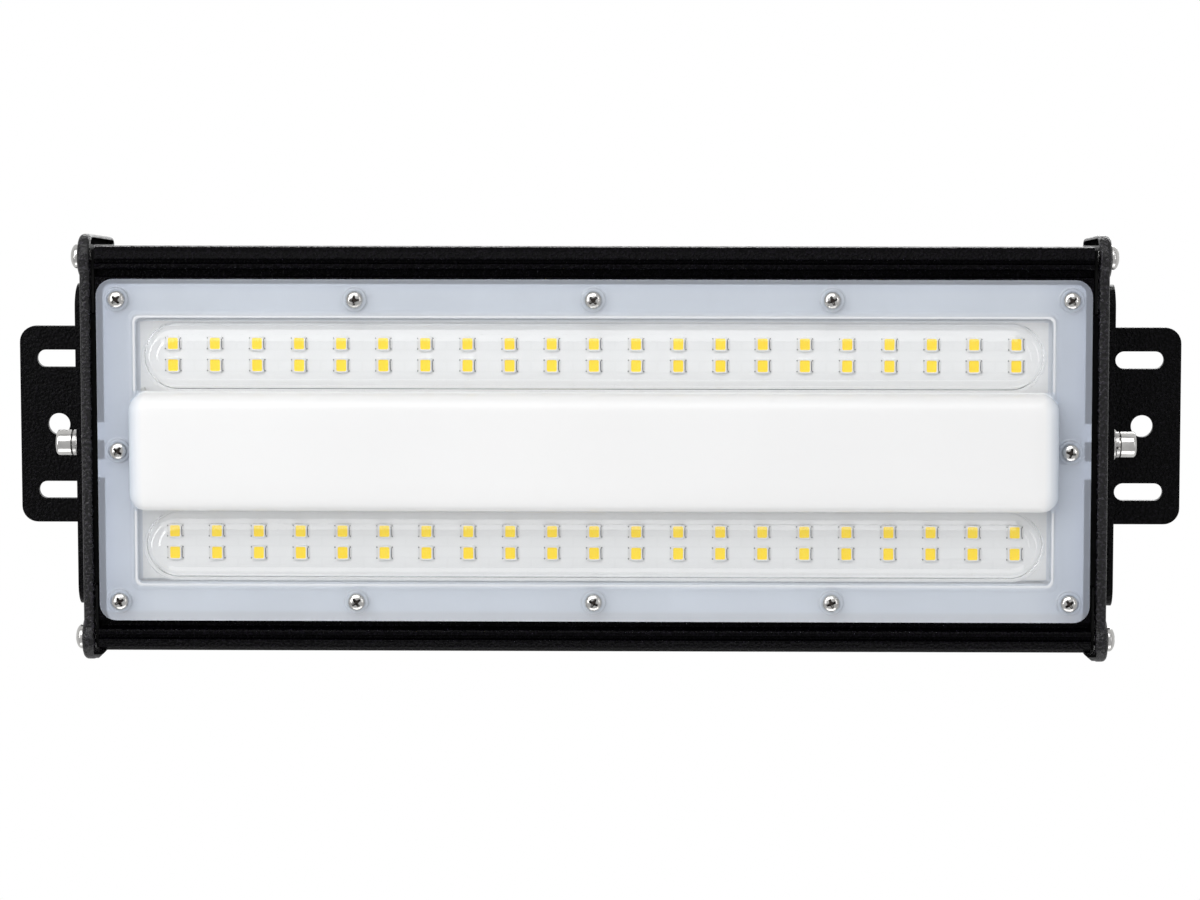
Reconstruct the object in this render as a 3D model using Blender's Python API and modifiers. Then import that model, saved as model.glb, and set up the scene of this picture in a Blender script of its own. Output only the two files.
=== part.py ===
"""Linear high bay light: a finned body under a moulded cover, hung from two swivel brackets.

X runs along the light, +Z points up to the ceiling and the light face looks down.
The origin is the centre of the ceiling plane, level with the tops of both bracket feet.
A depth is a distance behind the cover's flange, measured up towards the ceiling.
"""
import math

import bmesh
import bpy
from mathutils import Matrix

OBJECT_NAME = "high_bay_light"
SIDES = {"left": -1, "right": 1}
ROWS = {"upper": -1, "lower": 1}

# Fits shared by all pieces
FIT_GAP = 0.0003
OVERRUN = 0.003
SEAM_OVERLAP = 0.0002
WELD_DISTANCE = 0.000001

# Bracket sheet, and how far the light face hangs below the foot
SHEET_THICKNESS = 0.002
FACE_TO_FOOT = 0.065
FACE_Z = -(SHEET_THICKNESS + FACE_TO_FOOT)

# Moulded cover: flange, strip domes, driver hump and screw rings
COVER_LENGTH = 0.323
COVER_WIDTH = 0.112
COVER_CORNER = 0.0055
FLANGE_THICKNESS = 0.002
COVER_WALL = 0.0018
HUMP_END_MARGIN = 0.0109
HUMP_WIDTH = 0.038
HUMP_CORNER = 0.0055
HUMP_HEIGHT = 0.009
HUMP_ROUNDING = 0.0051
DOME_END_MARGIN = 0.0149
DOME_WIDTH = 0.0227
DOME_SPACE = 0.00055
DOME_HEIGHT = 0.007
DOME_ROUNDING = 0.005
FRAME_END_MARGIN = 0.0117
FRAME_SIDE_MARGIN = 0.0125
FRAME_RIDGE_WIDTH = 0.001
FRAME_RIDGE_HEIGHT = 0.0008
SCREW_RING_RADIUS = 0.004
SCREW_RING_WALL = 0.0009
SCREW_RING_HEIGHT = 0.0012
COVER_SCREW_END_INSET = 0.0068
COVER_SCREW_SIDE_INSET = 0.0065
COVER_SCREW_REACH = 0.008
COVER_SCREWS_PER_SIDE = 5

HUMP_LENGTH = COVER_LENGTH - 2 * HUMP_END_MARGIN
DOME_LENGTH = COVER_LENGTH - 2 * DOME_END_MARGIN
DOME_OFFSET = HUMP_WIDTH / 2 + DOME_SPACE + DOME_WIDTH / 2
FRAME_LENGTH = COVER_LENGTH - 2 * FRAME_END_MARGIN
FRAME_WIDTH = COVER_WIDTH - 2 * FRAME_SIDE_MARGIN
COVER_SCREW_END_X = COVER_LENGTH / 2 - COVER_SCREW_END_INSET
COVER_SCREW_OFFSET = COVER_WIDTH / 2 - COVER_SCREW_SIDE_INSET

# Cover gasket, with two tabs beside each screw in the short sides
GASKET_THICKNESS = 0.0006
GASKET_EDGE_ALONG = 0.0021
GASKET_EDGE_ACROSS = 0.0027
GASKET_BAND_WIDTH = 0.0085
GASKET_CORNER = 0.003
GASKET_TAB_START = 0.0031
GASKET_TAB_WIDTH = 0.006
LEDGE_DEPTH = FLANGE_THICKNESS + FIT_GAP + GASKET_THICKNESS + FIT_GAP

# LED boards and the packages on them
LED_FACE_DEPTH = 0.007
LED_BOARD_END_MARGIN = 0.012
LED_BOARD_WIDTH = 0.026
LED_BOARD_THICKNESS = 0.0016
LED_COLUMNS = 21
LED_END_MARGIN = 0.012
LED_ROW_SPACING = 0.0072
LED_PACKAGE_LENGTH = 0.0054
LED_PACKAGE_WIDTH = 0.005
LED_PACKAGE_HEIGHT = 0.0008
THERMAL_PAD_THICKNESS = 0.0005
THERMAL_PAD_MARGIN = 0.001

LED_BOARD_LENGTH = COVER_LENGTH - 2 * LED_BOARD_END_MARGIN
LED_PITCH = (LED_BOARD_LENGTH - 2 * LED_END_MARGIN) / (LED_COLUMNS - 1)

# Finned body, one extrusion
BODY_END_MARGIN = 0.0007
BODY_DEPTH = 0.048
BODY_TAPER = 0.0034
BODY_TAPER_DEPTH = 0.004
RAIL_WIDTH = 0.0077
RAIL_CREST_WIDTH = 0.005
RAIL_FRONT_DEPTH = 0.001
RAIL_SLOPE_DEPTH = 0.0034
RAIL_ROUNDING = 0.0016
GROOVE_DEPTH = 0.0062
GROOVE_WIDTH = 0.0024
LEDGE_OVERHANG = 0.0005
POCKET_SIDE_GAP = 0.0006
BASE_THICKNESS = 0.004
SIDE_WALL_THICKNESS = 0.0024
CHANNEL_SIDE_MARGIN = 0.00175
CHANNEL_WALL = 0.0025
CHANNEL_DEPTH = 0.034
CHANNEL_FLOOR_THICKNESS = 0.0025
FIN_THICKNESS = 0.0018
FINS_PER_CHANNEL = 5
FINS_BESIDE_CHANNEL = 4
PORT_BOSS_MARGIN = 0.0018

BODY_LENGTH = COVER_LENGTH + 2 * BODY_END_MARGIN
BODY_WIDTH = COVER_WIDTH + 2 * (LEDGE_OVERHANG + GROOVE_WIDTH + RAIL_WIDTH)
BODY_BACK_WIDTH = BODY_WIDTH - 2 * BODY_TAPER
POCKET_WIDTH = 2 * (DOME_OFFSET + LED_BOARD_WIDTH / 2 + POCKET_SIDE_GAP)
CHANNEL_WIDTH = HUMP_WIDTH - 2 * CHANNEL_SIDE_MARGIN
POCKET_DEPTH = (
    LED_FACE_DEPTH + LED_BOARD_THICKNESS + FIT_GAP + THERMAL_PAD_THICKNESS + FIT_GAP
)
BASE_BACK_DEPTH = POCKET_DEPTH + BASE_THICKNESS
FLOOR_BACK_DEPTH = CHANNEL_DEPTH + CHANNEL_FLOOR_THICKNESS
FIN_PITCH = (CHANNEL_WIDTH + CHANNEL_WALL) / FINS_PER_CHANNEL

# Machine screws: shank and head sizes
M3_RADIUS = 0.0015
M3_HEAD_RADIUS = 0.00265
M3_HEAD_HEIGHT = 0.0019
M4_RADIUS = 0.002
M4_HEAD_RADIUS = 0.004
M4_HEAD_HEIGHT = 0.0026
M5_RADIUS = 0.0025
M5_HEAD_RADIUS = 0.00425
M5_HEAD_HEIGHT = 0.005
M5_HEAD_ROUNDING = 0.0009
M5_SOCKET_WIDTH = 0.004
M5_SOCKET_DEPTH = 0.0026
THREAD_TIP = 0.0004
RECESS_DEPTH = 0.0012
M3_RECESS_REACH = 0.0014
M4_RECESS_REACH = 0.0021
RECESS_BLADE_SHARE = 0.3
RECESS_TAPER_SHARE = 0.8
HEAD_CROWN_SHARE = 0.55
HEAD_SIDE_SHARE = 0.45

# End gaskets and end caps
END_GASKET_THICKNESS = 0.0008
END_GASKET_MARGIN = 0.0011
END_GASKET_NOTCH_GAP = 0.001
CAP_PLATE_THICKNESS = 0.0036
CAP_PAD_HEIGHT = 0.0006
CAP_LUG_HEIGHT = 0.0012
CAP_FRONT_DEPTH = 0.002
CAP_BACK_MARGIN = 0.002
CAP_LUG_RADIUS = 0.0074
CAP_REAR_CORNER_RADIUS = 0.004
CAP_REAR_CORNER_INSET = 0.001
CAP_LIP_REACH = 0.0026
CAP_LIP_GAP = 0.0004
CAP_TONGUE_REACH = 0.0137
END_SCREW_INSET = 0.0038
END_SCREW_DEPTH = 0.008
REAR_SCREW_INSET = 0.0052
REAR_SCREW_BACK_INSET = 0.0065
END_SCREW_GRIP = 0.012
PIVOT_BOSS_RADIUS = 0.0065
PIVOT_BOSS_REACH = 0.006
PIVOT_BOSS_FLOOR = 0.001

CAP_BACK_DEPTH = BODY_DEPTH + CAP_BACK_MARGIN
CAP_REAR_CORNER_OFFSET = BODY_BACK_WIDTH / 2 - CAP_REAR_CORNER_INSET
END_SCREW_OFFSET = BODY_WIDTH / 2 - END_SCREW_INSET
REAR_SCREW_OFFSET = BODY_BACK_WIDTH / 2 - REAR_SCREW_INSET
REAR_SCREW_DEPTH = BODY_DEPTH - REAR_SCREW_BACK_INSET
CAP_INNER_X = BODY_LENGTH / 2 + FIT_GAP + END_GASKET_THICKNESS + FIT_GAP
CAP_PLATE_X = CAP_INNER_X + CAP_PLATE_THICKNESS
CAP_PAD_X = CAP_PLATE_X + CAP_PAD_HEIGHT
CAP_LUG_X = CAP_PLATE_X + CAP_LUG_HEIGHT

# Pivot, lock screw and the arc slot that it runs in
PIVOT_DEPTH = 0.0195
LOCK_RADIUS = 0.0138
PIVOT_PAD_RADIUS = 0.008
TILT_LIMIT_DEGREES = 15
PIVOT_Z = FACE_Z + PIVOT_DEPTH
LOCK_DEPTH = PIVOT_DEPTH + LOCK_RADIUS

# Bracket
ARM_WIDTH = 0.1046
ARM_CORNER = 0.0075
ARM_FRONT_DEPTH = 0.0095
BEND_RADIUS = 0.0015
FOOT_REACH = 0.0294
FOOT_WIDTH = 0.068
FOOT_CORNER = 0.0055
FOOT_SLOT_WIDTH = 0.006
FOOT_SLOT_LENGTH = 0.0166
FOOT_SLOT_INSET = 0.0112
FOOT_SLOT_MARGIN = 0.0059
FOOT_HOLE_RADIUS = 0.0038
FOOT_HOLE_MARGIN = 0.0132

ARM_INNER_X = CAP_PAD_X + FIT_GAP
ARM_OUTER_X = ARM_INNER_X + SHEET_THICKNESS
FOOT_END_X = ARM_OUTER_X + FOOT_REACH
FOOT_SLOT_OFFSET = FOOT_WIDTH / 2 - FOOT_SLOT_INSET

# Washers under the pivot bolt and the lock screw
PIVOT_WASHER_RADIUS = 0.005
PIVOT_WASHER_THICKNESS = 0.0012
SPRING_WASHER_RADIUS = 0.0043
SPRING_WASHER_THICKNESS = 0.0017
SPRING_WASHER_SPLIT = 0.0008
LOCK_WASHER_RADIUS = 0.0042
LOCK_WASHER_THICKNESS = 0.0008

# Cable gland and breather, set in the floor of the channel
GLAND_END_INSET = 0.0522
GLAND_THREAD_RADIUS = 0.008
GLAND_HEX_WIDTH = 0.0205
GLAND_HEX_HEIGHT = 0.005
GLAND_SLEEVE_RADIUS = 0.007
GLAND_SLEEVE_HEIGHT = 0.0072
GLAND_BORE_RADIUS = 0.0042
GLAND_INNER_REACH = 0.005
GLAND_LOCKNUT_HEIGHT = 0.0035
GLAND_SEAL_HEIGHT = 0.0028
GLAND_NUT_RADIUS = 0.0102
GLAND_NUT_TOP_RADIUS = 0.0085
GLAND_NUT_ROOF = 0.0018
VENT_SPACING = 0.0245
VENT_THREAD_RADIUS = 0.0057
VENT_HEAD_RADIUS = 0.0075
VENT_HEAD_HEIGHT = 0.0048
VENT_HEAD_ROUNDING = 0.001
VENT_INNER_REACH = 0.0015
FIN_CLEARING_MARGIN = 0.002

GLAND_X = BODY_LENGTH / 2 - GLAND_END_INSET
VENT_X = GLAND_X + VENT_SPACING

# Driver, housed in the channel under the hump
TRAY_GLAND_SPACE = 0.03
TRAY_LENGTH = 0.196
TRAY_WALL = 0.0005
TRAY_HEIGHT = 0.02
DRIVER_BOARD_END_GAP = 0.003
DRIVER_BOARD_SIDE_GAP = 0.00095
DRIVER_BOARD_THICKNESS = 0.0016
DRIVER_SCREW_INSET = 0.006
DRIVER_SCREW_BITE = 0.0017
TERMINAL_INSET = 0.0215
TERMINAL_LENGTH = 0.011
TERMINAL_WIDTH = 0.024
TERMINAL_HEIGHT = 0.0125
TERMINAL_WAYS = 3
TERMINAL_ENTRY = 0.0042
TERMINAL_ENTRY_LIFT = 0.003
TERMINAL_ENTRY_DEPTH = 0.006
CHOKE_INSET = 0.033
CHOKE_RADIUS = 0.0074
CHOKE_TUBE_RADIUS = 0.0031
INPUT_CAPACITOR_INSET = 0.058
OUTPUT_CAPACITOR_INSET = 0.132
CAPACITOR_RADIUS = 0.008
CAPACITOR_HEIGHT = 0.025
CAPACITOR_RIM = 0.001
TRANSFORMER_INSET = 0.092
TRANSFORMER_LENGTH = 0.027
TRANSFORMER_WIDTH = 0.0215
TRANSFORMER_HEIGHT = 0.021
CORE_WIDTH = 0.0115
CORE_LENGTH = 0.031
CORE_HEIGHT = 0.0185

TRAY_END_X = GLAND_X - TRAY_GLAND_SPACE
TRAY_CENTRE_X = TRAY_END_X - TRAY_LENGTH / 2
TRAY_FLOOR_DEPTH = CHANNEL_DEPTH - FIT_GAP - TRAY_WALL
DRIVER_BOARD_LENGTH = TRAY_LENGTH - 2 * DRIVER_BOARD_END_GAP
DRIVER_BOARD_WIDTH = CHANNEL_WIDTH - 2 * (FIT_GAP + TRAY_WALL + DRIVER_BOARD_SIDE_GAP)
DRIVER_BOARD_DEPTH = TRAY_FLOOR_DEPTH - FIT_GAP - DRIVER_BOARD_THICKNESS
DRIVER_SEAT_DEPTH = DRIVER_BOARD_DEPTH - FIT_GAP
TRANSFORMER_X = TRAY_END_X - TRANSFORMER_INSET

# Leads from the driver to the LED boards
LEAD_RADIUS = 0.0009
LEAD_START_INSET = 0.003
LEAD_START_OFFSET = 0.006
LEAD_TURN_OFFSET = 0.01
LEAD_LANDING_INSET = 0.002
LEAD_STEPS = 10

# Facets of round shapes
LARGE_STEPS = 18
BOLT_STEPS = 16
SCREW_STEPS = 10
HOLE_STEPS = 10
DOME_END_STEPS = 8
SLOT_END_STEPS = 6
TUBE_STEPS = 6
CORNER_STEPS = 3
ROUNDING_STEPS = 2
GASKET_CORNER_STEPS = 2
RIDGE_CORNER_STEPS = 1
LEAD_RESOLUTION = 1
HEXAGON_SIDES = 6
FLAT_ANGLE_DEGREES = 1
SMOOTH_ANGLE_DEGREES = 35

AXIS_TURNS = {
    "X": Matrix(((0, 0, 1, 0), (1, 0, 0, 0), (0, 1, 0, 0), (0, 0, 0, 1))),
    "Y": Matrix(((0, 1, 0, 0), (0, 0, 1, 0), (1, 0, 0, 0), (0, 0, 0, 1))),
    "Z": Matrix.Identity(4),
}


# Scene and materials

def empty_scene():
    """Remove every object, so that the file holds only this model."""
    for item in list(bpy.data.objects):
        bpy.data.objects.remove(item, do_unlink=True)


def new_collection(name):
    """Make a collection under the scene's own."""
    collection = bpy.data.collections.new(name)
    bpy.context.scene.collection.children.link(collection)
    return collection


def new_material(name, colour, roughness, metallic=0.0, transmission=0.0):
    """Principled material with one colour and finish."""
    material = bpy.data.materials.new(name)
    material.use_nodes = True
    shader = material.node_tree.nodes["Principled BSDF"]
    shader.inputs["Base Color"].default_value = (*colour, 1.0)
    shader.inputs["Roughness"].default_value = roughness
    shader.inputs["Metallic"].default_value = metallic
    shader.inputs["Transmission Weight"].default_value = transmission
    material.diffuse_color = (*colour, 1.0)
    return material


def make_materials():
    """The finishes, by name."""
    return {
        "black_coat": new_material("black_powder_coat", (0.016, 0.015, 0.018), 0.55, 0.1),
        "black_cast": new_material("black_cast_coat", (0.02, 0.019, 0.022), 0.5, 0.15),
        "black_sheet": new_material("black_sheet_coat", (0.012, 0.012, 0.014), 0.6, 0.1),
        "cover": new_material("frosted_polycarbonate", (0.62, 0.67, 0.75), 0.35, 0.0, 0.5),
        "gasket": new_material("grey_silicone", (0.55, 0.57, 0.6), 0.7),
        "board": new_material("white_board", (0.86, 0.87, 0.87), 0.4),
        "driver_board": new_material("green_board", (0.03, 0.16, 0.07), 0.45),
        "pad": new_material("pink_thermal_pad", (0.62, 0.42, 0.44), 0.8),
        "film": new_material("insulating_film", (0.82, 0.82, 0.78), 0.4),
        "winding": new_material("yellow_tape", (0.75, 0.55, 0.08), 0.5),
        "sleeve": new_material("black_sleeve", (0.03, 0.03, 0.035), 0.3),
        "ferrite": new_material("grey_ferrite", (0.1, 0.1, 0.11), 0.6),
        "terminal": new_material("green_terminal", (0.05, 0.3, 0.12), 0.4),
        "lead": new_material("white_lead", (0.8, 0.8, 0.78), 0.5),
        "steel": new_material("stainless_steel", (0.72, 0.71, 0.69), 0.22, 1.0),
        "nylon": new_material("black_nylon", (0.02, 0.02, 0.02), 0.5),
        "rubber": new_material("black_rubber", (0.015, 0.015, 0.015), 0.85),
    }


# Outlines

def arc(centre, radius, start, end, steps):
    """Points along an arc, from one angle to the other, both in degrees."""
    points = []
    for index in range(steps + 1):
        angle = math.radians(start + (end - start) * index / steps)
        points.append((centre[0] + radius * math.cos(angle), centre[1] + radius * math.sin(angle)))
    return points


def circle(centre, radius, steps):
    """Points of a full circle."""
    return arc(centre, radius, 0, 360, steps)[:-1]


def hexagon(width):
    """Hexagon about the origin, by its width across flats."""
    return circle((0, 0), width / math.sqrt(3), HEXAGON_SIDES)


def rounded_rectangle(half_length, half_width, corner, steps=CORNER_STEPS):
    """Rectangle about the origin, with rounded corners."""
    points = []
    for turn, sign_a, sign_b in ((0, 1, 1), (90, -1, 1), (180, -1, -1), (270, 1, -1)):
        centre = (sign_a * (half_length - corner), sign_b * (half_width - corner))
        points += arc(centre, corner, turn, turn + 90, steps)
    return points


def stadium(centre, half_length, radius, steps):
    """Slot shape along the first axis, with round ends."""
    reach = half_length - radius
    first = arc((centre[0] + reach, centre[1]), radius, -90, 90, steps)
    return first + arc((centre[0] - reach, centre[1]), radius, 90, 270, steps)


def tangent_angle(first, first_radius, second, second_radius):
    """Angle of the outward normal of the line that touches two circles on their outer side."""
    step_a = second[0] - first[0]
    step_b = second[1] - first[1]
    heading = math.atan2(step_b, step_a)
    turn = math.acos((first_radius - second_radius) / math.hypot(step_a, step_b))
    return math.degrees(heading - turn)


def both_halves(half):
    """Close a half outline, drawn at positive Y, with its mirror image."""
    return half + [(-across, depth) for across, depth in reversed(half)]


def at_levels(points):
    """Turn depths behind the flange into heights."""
    return [(across, FACE_Z + depth) for across, depth in points]


def span(side, near, far):
    """Low and high X of a stretch on one side of the light."""
    return tuple(sorted((side * near, side * far)))


# Meshes

def evaluated_mesh(item):
    """Mesh of an object with its modifiers applied."""
    graph = bpy.context.evaluated_depsgraph_get()
    return bpy.data.meshes.new_from_object(item.evaluated_get(graph))


def weld(mesh):
    """Join vertices that coincide, and point the faces out."""
    work = bmesh.new()
    work.from_mesh(mesh)
    bmesh.ops.remove_doubles(work, verts=work.verts, dist=WELD_DISTANCE)
    bmesh.ops.recalc_face_normals(work, faces=work.faces)
    work.to_mesh(mesh)
    work.free()


def prism(loops, low, high, axis):
    """A flat outline, with any holes in it, drawn out along an axis from low to high."""
    curve = bpy.data.curves.new("outline", "CURVE")
    curve.dimensions = "2D"
    curve.fill_mode = "BOTH"
    curve.extrude = (high - low) / 2
    for loop in loops:
        spline = curve.splines.new("POLY")
        spline.points.add(len(loop) - 1)
        for point, place in zip(spline.points, loop):
            point.co = (*place, 0, 1)
        spline.use_cyclic_u = True
    holder = bpy.data.objects.new("outline", curve)
    bpy.context.scene.collection.objects.link(holder)
    mesh = evaluated_mesh(holder)
    bpy.data.objects.remove(holder)
    bpy.data.curves.remove(curve)
    mesh.transform(AXIS_TURNS[axis] @ Matrix.Translation((0, 0, (low + high) / 2)))
    weld(mesh)
    return mesh


def rounded_prism(outline, front, back, rounding, steps):
    """Prism along Z whose front rim, at the lower end, is rounded."""
    mesh = prism([outline], front, back, "Z")
    work = bmesh.new()
    work.from_mesh(mesh)
    flat_angle = math.radians(FLAT_ANGLE_DEGREES)
    bmesh.ops.dissolve_limit(work, angle_limit=flat_angle, verts=work.verts, edges=work.edges)
    middle = (front + back) / 2
    rim = [edge for edge in work.edges if all(vert.co.z < middle for vert in edge.verts)]
    bmesh.ops.bevel(
        work, geom=rim, offset=rounding, offset_type="OFFSET",
        segments=steps, profile=0.5, affect="EDGES",
    )
    work.to_mesh(mesh)
    work.free()
    weld(mesh)
    return mesh


def block(low, high):
    """Box between two corners."""
    mesh = bpy.data.meshes.new("block")
    size = [top - bottom for bottom, top in zip(low, high)]
    centre = [(top + bottom) / 2 for bottom, top in zip(low, high)]
    work = bmesh.new()
    place = Matrix.Translation(centre) @ Matrix.Diagonal((*size, 1))
    bmesh.ops.create_cube(work, size=1, matrix=place)
    work.to_mesh(mesh)
    work.free()
    return mesh


def rod(centre, low, high, radius, axis, steps=HOLE_STEPS):
    """Cylinder along an axis, with its centre given in the plane across that axis."""
    mesh = bpy.data.meshes.new("rod")
    work = bmesh.new()
    place = AXIS_TURNS[axis] @ Matrix.Translation((*centre, (low + high) / 2))
    bmesh.ops.create_cone(
        work, cap_ends=True, segments=steps, radius1=radius, radius2=radius,
        depth=high - low, matrix=place,
    )
    work.to_mesh(mesh)
    work.free()
    return mesh


def smooth(mesh):
    """Shade round faces smooth and keep real edges sharp."""
    mesh.shade_smooth()
    mesh.set_sharp_from_angle(angle=math.radians(SMOOTH_ANGLE_DEGREES))


def turned(profile, steps):
    """Shape turned about Z from a profile that runs down its outer side."""
    mesh = bpy.data.meshes.new("profile")
    edges = [(index, index + 1) for index in range(len(profile) - 1)]
    mesh.from_pydata([(radius, 0, height) for radius, height in profile], edges, [])
    holder = bpy.data.objects.new("profile", mesh)
    bpy.context.scene.collection.objects.link(holder)
    screw = holder.modifiers.new("turn", "SCREW")
    screw.steps = steps
    screw.render_steps = steps
    screw.use_merge_vertices = True
    screw.merge_threshold = WELD_DISTANCE
    result = evaluated_mesh(holder)
    bpy.data.objects.remove(holder)
    weld(result)
    smooth(result)
    return result


def ring(outer, inner, low, high, steps):
    """Flat ring about Z."""
    return prism([circle((0, 0), outer, steps), circle((0, 0), inner, steps)], low, high, "Z")


def gathered(meshes):
    """Several meshes in one, each still a body of its own."""
    work = bmesh.new()
    for mesh in meshes:
        work.from_mesh(mesh)
    result = bpy.data.meshes.new("gathered")
    work.to_mesh(result)
    work.free()
    return result


# Assembly

class Model:
    """The collections, materials and parents that pieces are added to."""

    def __init__(self):
        self.parts = new_collection(OBJECT_NAME)
        self.cutters = new_collection("cutters")
        self.materials = make_materials()
        self.lamp = self.add_axis("lamp_axis", None)
        self.right = self.add_axis("right_bracket_axis", self.lamp)

    def add_axis(self, name, parent):
        """Empty on the pivot axis."""
        axis = bpy.data.objects.new(name, None)
        axis.location = (0, 0, 0) if parent else (0, 0, PIVOT_Z)
        axis.parent = parent
        self.parts.objects.link(axis)
        return axis

    def add_piece(self, name, mesh, material, parent):
        """Add a piece whose mesh is drawn in place, with its origin on the pivot axis."""
        mesh.name = name
        mesh.transform(Matrix.Translation((0, 0, -PIVOT_Z)))
        piece = bpy.data.objects.new(name, mesh)
        mesh.materials.append(self.materials[material])
        piece.parent = parent
        if parent is None:
            piece.location = (0, 0, PIVOT_Z)
        self.parts.objects.link(piece)
        return piece

    def add_fastener(self, name, mesh, place, direction):
        """Add a fastener whose own +Z, towards its head, is turned to a direction."""
        piece = bpy.data.objects.new(name, mesh)
        piece.parent = self.lamp
        piece.location = (place[0], place[1], place[2] - PIVOT_Z)
        piece.rotation_euler = direction
        self.parts.objects.link(piece)
        return piece

    def shape(self, piece, operation, mesh, name):
        """Cut, join or trim a piece with another mesh."""
        tool = bpy.data.objects.new(name, mesh)
        tool.hide_render = True
        tool.display_type = "WIRE"
        self.cutters.objects.link(tool)
        step = piece.modifiers.new(name, "BOOLEAN")
        step.operation = operation
        step.solver = "EXACT"
        step.object = tool


DOWN = (math.pi, 0, 0)


def outward(side):
    """Turn that points a fastener's head out along X."""
    return (0, side * math.pi / 2, 0)


# Finned body

def body_half_outline():
    """Half of the extrusion's section, from the channel floor round to the fins behind it."""
    channel_half = CHANNEL_WIDTH / 2
    pocket_half = POCKET_WIDTH / 2
    ledge_half = COVER_WIDTH / 2 + LEDGE_OVERHANG
    body_half = BODY_WIDTH / 2
    rail_inner = body_half - RAIL_WIDTH
    rail_crest = body_half - RAIL_CREST_WIDTH
    corner = (body_half - RAIL_ROUNDING, RAIL_FRONT_DEPTH + RAIL_ROUNDING)
    boss_reach = M4_RADIUS + FIT_GAP + PORT_BOSS_MARGIN
    boss_inner = REAR_SCREW_OFFSET - boss_reach
    wall_inner = BODY_BACK_WIDTH / 2 - SIDE_WALL_THICKNESS
    half = [
        (channel_half, CHANNEL_DEPTH),
        (channel_half, POCKET_DEPTH),
        (pocket_half, POCKET_DEPTH),
        (pocket_half, LEDGE_DEPTH),
        (ledge_half, LEDGE_DEPTH),
        (ledge_half, GROOVE_DEPTH),
        (rail_inner, GROOVE_DEPTH),
        (rail_inner, RAIL_SLOPE_DEPTH),
        (rail_crest, RAIL_FRONT_DEPTH),
    ]
    half += arc(corner, RAIL_ROUNDING, -90, 0, CORNER_STEPS)
    half += [
        (body_half, BODY_TAPER_DEPTH),
        (BODY_BACK_WIDTH / 2, BODY_DEPTH),
        (wall_inner, BODY_DEPTH),
        (wall_inner, REAR_SCREW_DEPTH + boss_reach),
        (boss_inner, REAR_SCREW_DEPTH + boss_reach),
        (boss_inner, REAR_SCREW_DEPTH - boss_reach),
        (wall_inner, REAR_SCREW_DEPTH - boss_reach),
        (wall_inner, BASE_BACK_DEPTH),
    ]
    wall_centre = channel_half + CHANNEL_WALL / 2
    for index in range(FINS_BESIDE_CHANNEL, 0, -1):
        half += fin_points(wall_centre + index * FIN_PITCH, BASE_BACK_DEPTH)
    half += [
        (channel_half + CHANNEL_WALL, BASE_BACK_DEPTH),
        (channel_half + CHANNEL_WALL, BODY_DEPTH),
        (channel_half, BODY_DEPTH),
        (channel_half, FLOOR_BACK_DEPTH),
    ]
    for index in range((FINS_PER_CHANNEL - 1) // 2, 0, -1):
        half += fin_points(index * FIN_PITCH - FIN_PITCH / 2, FLOOR_BACK_DEPTH)
    return half


def fin_points(centre, root):
    """Four corners of one fin, from its outer root round to its inner root."""
    near = centre - FIN_THICKNESS / 2
    far = centre + FIN_THICKNESS / 2
    return [(far, root), (far, BODY_DEPTH), (near, BODY_DEPTH), (near, root)]


def screw_port_places():
    """Centres of the four end cap screws, as offset and depth."""
    places = []
    for sign in ROWS.values():
        places.append((sign * END_SCREW_OFFSET, END_SCREW_DEPTH))
        places.append((sign * REAR_SCREW_OFFSET, REAR_SCREW_DEPTH))
    return places


def cover_screw_places():
    """Centres of the twelve cover screws."""
    spaces = COVER_SCREWS_PER_SIDE - 1
    places = []
    for sign in ROWS.values():
        for index in range(COVER_SCREWS_PER_SIDE):
            place_x = COVER_SCREW_END_X * (2 * index / spaces - 1)
            places.append((place_x, sign * COVER_SCREW_OFFSET))
    places += [(-COVER_SCREW_END_X, 0), (COVER_SCREW_END_X, 0)]
    return places


def driver_screw_places():
    """X of the two screws that hold the driver board."""
    reach = DRIVER_BOARD_LENGTH / 2 - DRIVER_SCREW_INSET
    return [TRAY_CENTRE_X - reach, TRAY_CENTRE_X + reach]


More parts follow.
